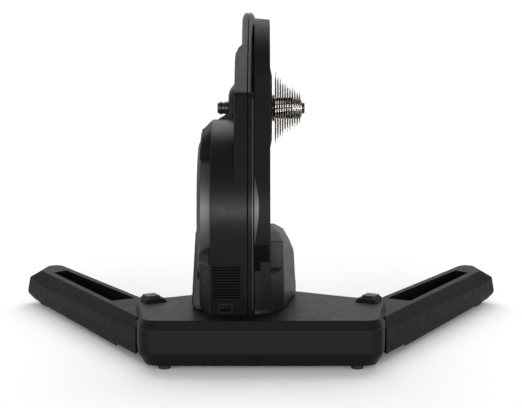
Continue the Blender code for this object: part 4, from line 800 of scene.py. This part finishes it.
def build_belt_cover():
    """Round cover over the belt, drafted to be smaller outside, with its trim, a near-black strip of painted
    shade under its rim, and the hub plate.
    """
    side = hull(AXLE, COVER_R, DRUM, COVER_LOW_R)
    low = BODY_RIGHT + FIT
    stops = ((low, 0.004), (low, 0.0, 0.0005), (COVER_RIGHT, 0.002, 0.0018), (COVER_RIGHT, 0.006))
    cover = piece("belt_cover_moulding", moulded(side, 0.0, stops, on_side, 1), ABS, nodes=("belt_cover",))
    carve(cover, block(inset(side, 0.0034), low - 0.002, COVER_RIGHT - 0.003))
    carve(cover, block(circle(AXLE, 0.0225), 0.0, 0.02))

    # Groove round the rim that fades out over 14 degrees at both ends
    middle, half, end = -12.0, 36.0, 14.0
    degrees = np.linspace(middle - half, middle + half, 50)
    fade = smooth((half - np.abs(degrees - middle)) / end)[:, None]
    across = np.array((-0.0027, -0.0025, -0.0016, -0.0014, -0.0014, -0.0027))
    sunk = np.array((0.0003, 0.0015, 0.0015, 0.0003, -0.004, -0.004))
    carve(cover, skin(drum_sections(degrees, across, COVER_LOW_R + 0.0003 - fade * sunk)))
    line = drum_arc(math.radians(-13.0), math.radians(32.0), COVER_LOW_R)
    climb = np.linspace(0.0, 2.6, len(line))
    taper = np.clip(np.minimum(climb, climb[::-1]), 0.04, 1.0)
    piece("belt_cover_trim", edge_strip(line, low + 0.0002, -0.0029, taper), EDGE)
    # Painted shade: a near-black, sheenless strip along the underside of the rim, where shadow falls
    line = drum_arc(math.radians(-46.0), math.radians(-13.5), COVER_LOW_R)
    piece("belt_cover_painted_shade", edge_strip(line, low + 0.0002, COVER_RIGHT - 0.003), SHADE_STRIP_BLACK)
    face = COVER_RIGHT + FIT
    disc = ((face + 0.003, 0.048), (face, 0.063), (face, 0.0205), (face + 0.003, 0.0205))
    piece("hub_plate", turned(disc, AXLE, 0.0008, 160), MATT_NYLON, nodes=("hub_cover_plate",))


def build_axle():
    """The two end caps of the hub axle, and the boss that carries its left end, with a web to the drum."""
    half, cap_face, start = 0.065, BODY_LEFT - 0.0106, BODY_LEFT - FIT
    cap_r, neck_r, bore_r, hollow_r = 0.0097, 0.0081, 0.0078, 0.0026
    right = ((half, neck_r), (half - 0.0056, neck_r), (half - 0.0056, 0.0058), (half - 0.0027, 0.0058),
             (half - 0.0027, hollow_r), (half, hollow_r))
    left = ((cap_face - FIT, cap_r), (-0.054, cap_r), (-0.0545, 0.0088), (-0.0585, 0.0088), (-0.059, cap_r),
            (-half + 0.003, cap_r), (-half + 0.003, neck_r), (-half, neck_r), (-half, hollow_r),
            (-0.0583, hollow_r), (-0.0583, bore_r), (cap_face - FIT, bore_r))
    for word, cap in (("right", right), ("left", left)):
        piece(f"{word}_axle_cap", turned(cap, AXLE, 0.0005, 96), ANODISED, nodes=(f"{word}_end_cap",))
    boss = turned(((start, 0.036), (start - 0.0025, 0.0355), (start - 0.0083, 0.027), (cap_face, 0.02),
                   (cap_face, bore_r), (start, bore_r)), AXLE, 0.0015)
    made = piece("left_axle_boss_casting", boss, POWDER, nodes=("left_axle_boss",))
    foot = DRUM[1] + DRUM_R - 0.006
    web = np.array(((-0.063, foot), (-0.063, foot + 0.003), (-0.055, foot + 0.0072),
                    (-0.04, foot + 0.016), (-0.04, foot)))
    rings = [np.column_stack((web[:, 0], np.full(len(web), y), web[:, 1])) for y in (-0.068, -0.05)]
    carve(made, skin(rings), "UNION")
    carve(made, block(circle(DRUM, DRUM_R + 0.0012, 192), HOUSING_LEFT - 0.002, -0.03))
    carve(made, block(circle(AXLE, bore_r, 64), -0.07, -0.03))


def sprocket_side(teeth):
    """Side view and radii of a sprocket: root + (tip - root) smooth(0.5 + 1.15 cos(teeth w)) at angle w."""
    chain_pitch = 0.0127
    pitch_r = chain_pitch / (2 * math.sin(math.pi / teeth))
    root, tip = pitch_r - 0.0039, pitch_r + 0.0026
    turn = np.linspace(0.0, math.tau, teeth * 16, endpoint=False)
    radius = root + (tip - root) * smooth(0.5 + 1.15 * np.cos(turn * teeth))
    return around(AXLE, radius, turn), radius


def build_cassette():
    """Freehub shell, eleven sprockets, spacers between them and the lockring.

    The three smallest sprockets carry their spacers themselves.
    """
    body = "freehub_body_group"
    first, pitch, half, bore_r = 0.0217, 0.00359, 0.0009, 0.0141
    teeth_list = (25, 23, 21, 19, 17, 16, 15, 14, 13, 12, 11)
    end = first + pitch * 10 + half
    shoulder, start = 0.0199, 0.0172
    flange = ((end, 0.0138), (shoulder, 0.0138), (shoulder, 0.0197), (start, 0.0197), (start, 0.0123),
              (end, 0.0123))
    piece("freehub_shell", turned(flange, AXLE, 0.0005, 96), ANODISED, body, ("freehub_body",))
    spacers = Shape()
    for index, teeth in enumerate(teeth_list):
        middle = first + pitch * index
        outline, radius = sprocket_side(teeth)
        way = (outline - AXLE) / radius[:, None]
        inner = AXLE + way * bore_r
        chest = AXLE + way * (radius.min() - 0.0012)
        thin = half - 0.00045 * (radius - radius.min()) / np.ptp(radius)
        wheel = hoop([on_side(inner, middle - half), on_side(chest, middle - half),
                      np.column_stack((middle - thin, outline)), np.column_stack((middle + thin, outline)),
                      on_side(chest, middle + half), on_side(inner, middle + half)])
        if index:
            ring = tube(middle + half - pitch + FIT, middle - half, 0.0156, bore_r)
            turned(ring, AXLE, 0.0, 96, shape=wheel if index > 7 else spacers)
        piece(f"cog_{teeth}", wheel, NICKEL, body, (f"sprocket_{teeth}",), crease=30.0)
    piece("cassette_spacers", spacers, MATT_NYLON, body)
    ring = tube(end + FIT, end + FIT + 0.0018, 0.0135, 0.0089)
    piece("cassette_lock", turned(ring, AXLE, 0.0004, 96), STEEL, body, ("cassette_lockring",))


# Pedestal

def drawn_in(plan, edge):
    """A cover's plan moved in by 2.5 mm all round, except where it lies against the housing at `edge`."""
    drawn = inset(plan, 0.0025)
    drawn[:, 0] = np.where(plan[:, 0] == edge, edge, drawn[:, 0])
    return drawn


def build_left_cover():
    """Cover round the flywheel's foot: a narrow wing, an oblique face with grooves and a sloping top."""
    edge = HOUSING_LEFT - FIT
    corner, top, plinth, crown_z = edge - 0.0028, 0.149, 0.0765, 0.1755
    low = np.array(((-0.0998, -0.1635), (-0.088, -0.1655), (-0.0878, -0.17), (corner, TOE_Y),
                    (edge, TOE_Y), (edge, FRONT_FOOT_Y), (-0.084, FRONT_FOOT_Y), (-0.1012, -0.072)))
    rear = lean_y(top)
    high = np.array(((-0.0948, -0.14, crown_z), (-0.0877, -0.1474, 0.153), (-0.0875, -0.206, 0.1505),
                     (corner, rear, top), (edge, rear, top), (edge, -0.03, crown_z),
                     (-0.08, -0.03, crown_z), (-0.0948, -0.05, crown_z)))
    crown = high + (0.0, 0.0005, 0.0004)
    crown[2:5, 1:] = ((-0.198, 0.159), (-0.208, 0.165), (-0.208, 0.165))
    easing = (0.003, 0.0005, 0.001, 0.001, 0.0, 0.0, 0.004, 0.006)
    drawn = drawn_in(low, edge)
    lifted = on_level(low, plinth)
    lifted = lifted + (high - lifted) * 0.06
    levels = (on_level(drawn, FOOT_Z), on_level(drawn, plinth - 0.0003), on_level(low, plinth), lifted, high,
              crown)
    cover = piece("pedestal_left_moulding", skin([eased(ring, easing) for ring in levels]), NYLON,
                  nodes=("pedestal_left_cover",))
    carve(cover, block(circle(DRUM, FLY_R + 0.0009, 160), FLY_LEFT - 0.0009, -0.06))

    # Grooves that carry on the lines of the cooling slots
    cut = Shape()
    for step in VENT_LOW + VENT_PITCH * np.arange(VENT_COUNT):
        height = FOOT_Z + (step + VENT_SLOT / 2) * math.cos(LEAN)
        outer = low[2] + (high[2, :2] - low[2]) * (height - plinth) / (top - plinth)
        inner = np.array((corner, lean_y(height)))
        line = (outer - inner) / np.linalg.norm(outer - inner)
        across = np.array((-line[1], line[0])) * np.sign(-line[1])
        start, stop = inner + line * 0.0012, outer - line * 0.0012
        groove = start + across * 0.002, stop + across * 0.002, stop - across * 0.004, start - across * 0.004
        block(groove, height - VENT_SLOT / 2, height + VENT_SLOT / 2, on_level, shape=cut)
    carve(cover, cut)


def build_right_cover():
    """Cover round the belt cover's foot: a lower part, and an upper one beside the belt cover."""
    edge = BODY_RIGHT + FIT
    # (height, middle x, its y from the leaning face, near x, near y, side x, front y, front y at the housing)
    rows = ((0.0765, 0.014, 0.014, 0.033, -0.1635, 0.0525, FRONT_FOOT_Y, FRONT_FOOT_Y),
            (0.098, 0.014, 0.0125, 0.0333, -0.164, 0.0522, -0.036, -0.024),
            (0.151, 0.0138, 0.0012, 0.033, -0.165, 0.05, -0.028, -0.004))
    easing = (0.0008, 0.004, 0.002, 0.004, 0.006, 0.004, 0.0)
    rings = []
    for height, mid_x, mid_y, near_x, near_y, side_x, front_y, inner_front in rows:
        rear = lean_y(height)
        plan = np.array(((edge, rear + mid_y * 0.4), (-0.002, rear + mid_y * 0.5), (mid_x, rear + mid_y),
                         (near_x, near_y), (side_x, -0.066), (side_x, front_y), (edge, inner_front)))
        if not rings:
            drawn = eased(drawn_in(plan, edge), easing)
            rings = [on_level(drawn, FOOT_Z), on_level(drawn, height - 0.0003)]
        rings.append(on_level(eased(plan, easing), height))
    cover = piece("pedestal_right_moulding", skin(rings), NYLON, nodes=("pedestal_right_cover",))
    # Beside the belt cover the lower part ends at a height that falls towards the front
    near_y, far_y, near_z, fall = -0.164, 0.03, 0.129, 0.375
    far_z = near_z - fall * (far_y - near_y)
    ledge = (-0.26, near_z), (near_y, near_z), (far_y, far_z), (far_y, 0.2), (-0.26, 0.2)
    carve(cover, block(ledge, COVER_RIGHT + FIT, 0.08))
    inner = COVER_RIGHT + 0.0006
    # (height, near x, near y, side x, y where the side starts, front y)
    upper = ((0.085, 0.0326, -0.15, 0.052, -0.066, -0.037), (0.1345, 0.0325, -0.15, 0.0492, -0.066, -0.031),
             (0.15, 0.0324, -0.149, 0.0425, -0.066, -0.028), (0.166, 0.032, -0.146, 0.0335, -0.066, -0.03),
             (0.1745, 0.0265, -0.116, 0.02, -0.076, -0.036), (0.178, 0.018, -0.099, 0.0165, -0.076, -0.06))
    rings = []
    for height, near_x, near_y, side_x, side_y, front_y in upper:
        plan = ((inner, near_y), (near_x, near_y), (side_x, side_y), (side_x, front_y), (inner, front_y))
        rings.append(on_level(eased(plan, (0.0004, 0.0008, 0.003, 0.002, 0.0004), 5), height))
    carve(cover, stacked(rings, (0.0, 0.0, 0.0008, 0.0008, 0.002, 0.0)), "UNION")
    pocket = hull(AXLE, COVER_R, DRUM, COVER_LOW_R, 0.0006)
    carve(cover, block(pocket, BODY_RIGHT - 0.01, COVER_RIGHT + FIT))
    carve(cover, block(rectangle(-0.012, -0.0006, -0.26, -0.2), 0.1375, 0.2, on_level))


# Studio

def build_studio():
    """White floor, a sky that stands for the studio's soft boxes, and the camera."""
    square = rectangle(-FLOOR_HALF, FLOOR_HALF, -FLOOR_HALF, FLOOR_HALF)
    floor = piece("studio_floor", block(square, -0.01, 0.0, on_level), None)
    white = bpy.data.materials.new("white_studio_floor")
    white.use_nodes = True
    shader = white.node_tree.nodes["Principled BSDF"]
    for key, value in (("Base Color", paint("#ffffff")), ("Roughness", 0.9), ("Specular IOR Level", 0.0)):
        shader.inputs[key].default_value = value
    floor.data.materials.append(white)

    world = bpy.data.worlds.new("studio")
    bpy.context.scene.world = world
    world.use_nodes = True
    tree = world.node_tree
    place = add(tree, "TexCoord").outputs["Generated"]
    apart = add(tree, "SeparateXYZ", {"Vector": place})
    toward = add(tree, "Math", {0: apart.outputs["Y"]}, operation="MULTIPLY")
    toward.inputs[1].default_value = -1.0
    height = add(tree, "Math", {0: apart.outputs["Z"]}, operation="MAXIMUM")
    height.inputs[1].default_value = 0.0
    angle = add(tree, "Math", {0: height.outputs["Value"], 1: toward.outputs["Value"]},
                operation="ARCTAN2")
    share = add(tree, "Math", {0: angle.outputs["Value"]}, operation="DIVIDE")
    share.inputs[1].default_value = math.pi
    tunnel = add(tree, "ValToRGB", {"Fac": share.outputs["Value"]})
    stops = tunnel.color_ramp.elements
    for index, (degrees, level) in enumerate(TUNNEL):
        stop = stops[index] if index < 2 else stops.new(degrees / 180.0)
        stop.position = degrees / 180.0
        stop.color = (level, level, level, 1.0)
    along = add(tree, "MapRange", {"Value": apart.outputs["Y"]}, From_Min=-WALL_NEAR, From_Max=WALL_NEAR,
                To_Min=0.0, To_Max=1.0)
    level = tunnel.outputs["Color"]
    for side, levels in ((-1, LEFT_WALL), (1, RIGHT_WALL)):
        wall = add(tree, "ValToRGB", {"Fac": along.outputs["Result"]})
        wall.color_ramp.elements.new(0.5)
        for stop, value in zip(wall.color_ramp.elements, levels):
            stop.color = (value, value, value, 1.0)
        beside = add(tree, "MapRange", {"Value": apart.outputs["X"]},
                     interpolation_type="SMOOTHSTEP", From_Min=side * WALL_START, From_Max=side * WALL_FULL,
                     To_Min=0.0, To_Max=1.0)
        joined = add(tree, "Mix", {"Factor": beside.outputs["Result"]}, data_type="RGBA")
        tree.links.new(level, joined.inputs[MIX_FIRST])
        tree.links.new(wall.outputs["Color"], joined.inputs[MIX_SECOND])
        level = joined.outputs[MIX_RESULT]
    tree.links.new(level, tree.nodes["Background"].inputs["Color"])

    data = bpy.data.cameras.new("photo_camera")
    data.sensor_width, data.lens = SENSOR_MM, FOCAL / PHOTO_WIDTH * SENSOR_MM
    camera = bpy.data.objects.new("photo_camera", data)
    camera.location = CAMERA
    camera.rotation_euler = (math.pi / 2 - math.atan(HORIZON / FOCAL), 0.0, 0.0)
    bpy.context.scene.collection.objects.link(camera)
    bpy.context.scene.camera = camera
    bpy.context.scene.view_settings.view_transform = "Standard"


build_base()
for leg_side, leg_word in SIDES:
    build_leg(leg_side, leg_word)
tower_left, tower_right = build_tower()
build_vents(tower_left, tower_right)
build_inlet(tower_left)
build_guard()
build_flywheel()
build_belt_cover()
build_axle()
build_cassette()
build_left_cover()
build_right_cover()
build_studio()

# The CAD solids that stay: each gets a material of its own kind
CARRIED = (
    (DARK_STEEL, ("base_floor_plate", "brake_core", "idler_bracket", "idler_roller")),
    (STEEL, ("left_hinge_pin", "right_hinge_pin", "hub_axle", "left_shaft_bearing", "right_shaft_bearing",
             "hub_left_bearing", "hub_right_bearing", "freehub_bearing", "left_inlet_contact",
             "right_inlet_contact")),
    (ALUMINIUM, ("flywheel_pulley", "brake_rotor")),
    (ANODISED, ("hub_pulley",)),
    (COPPER, ("brake_coils",)),
    (BELT, ("drive_belt",)),
    (BOARD, ("control_board",)),
)
for finish, names in CARRIED:
    for node_name in names:
        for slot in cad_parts[node_name].material_slots:
            slot.material = finish
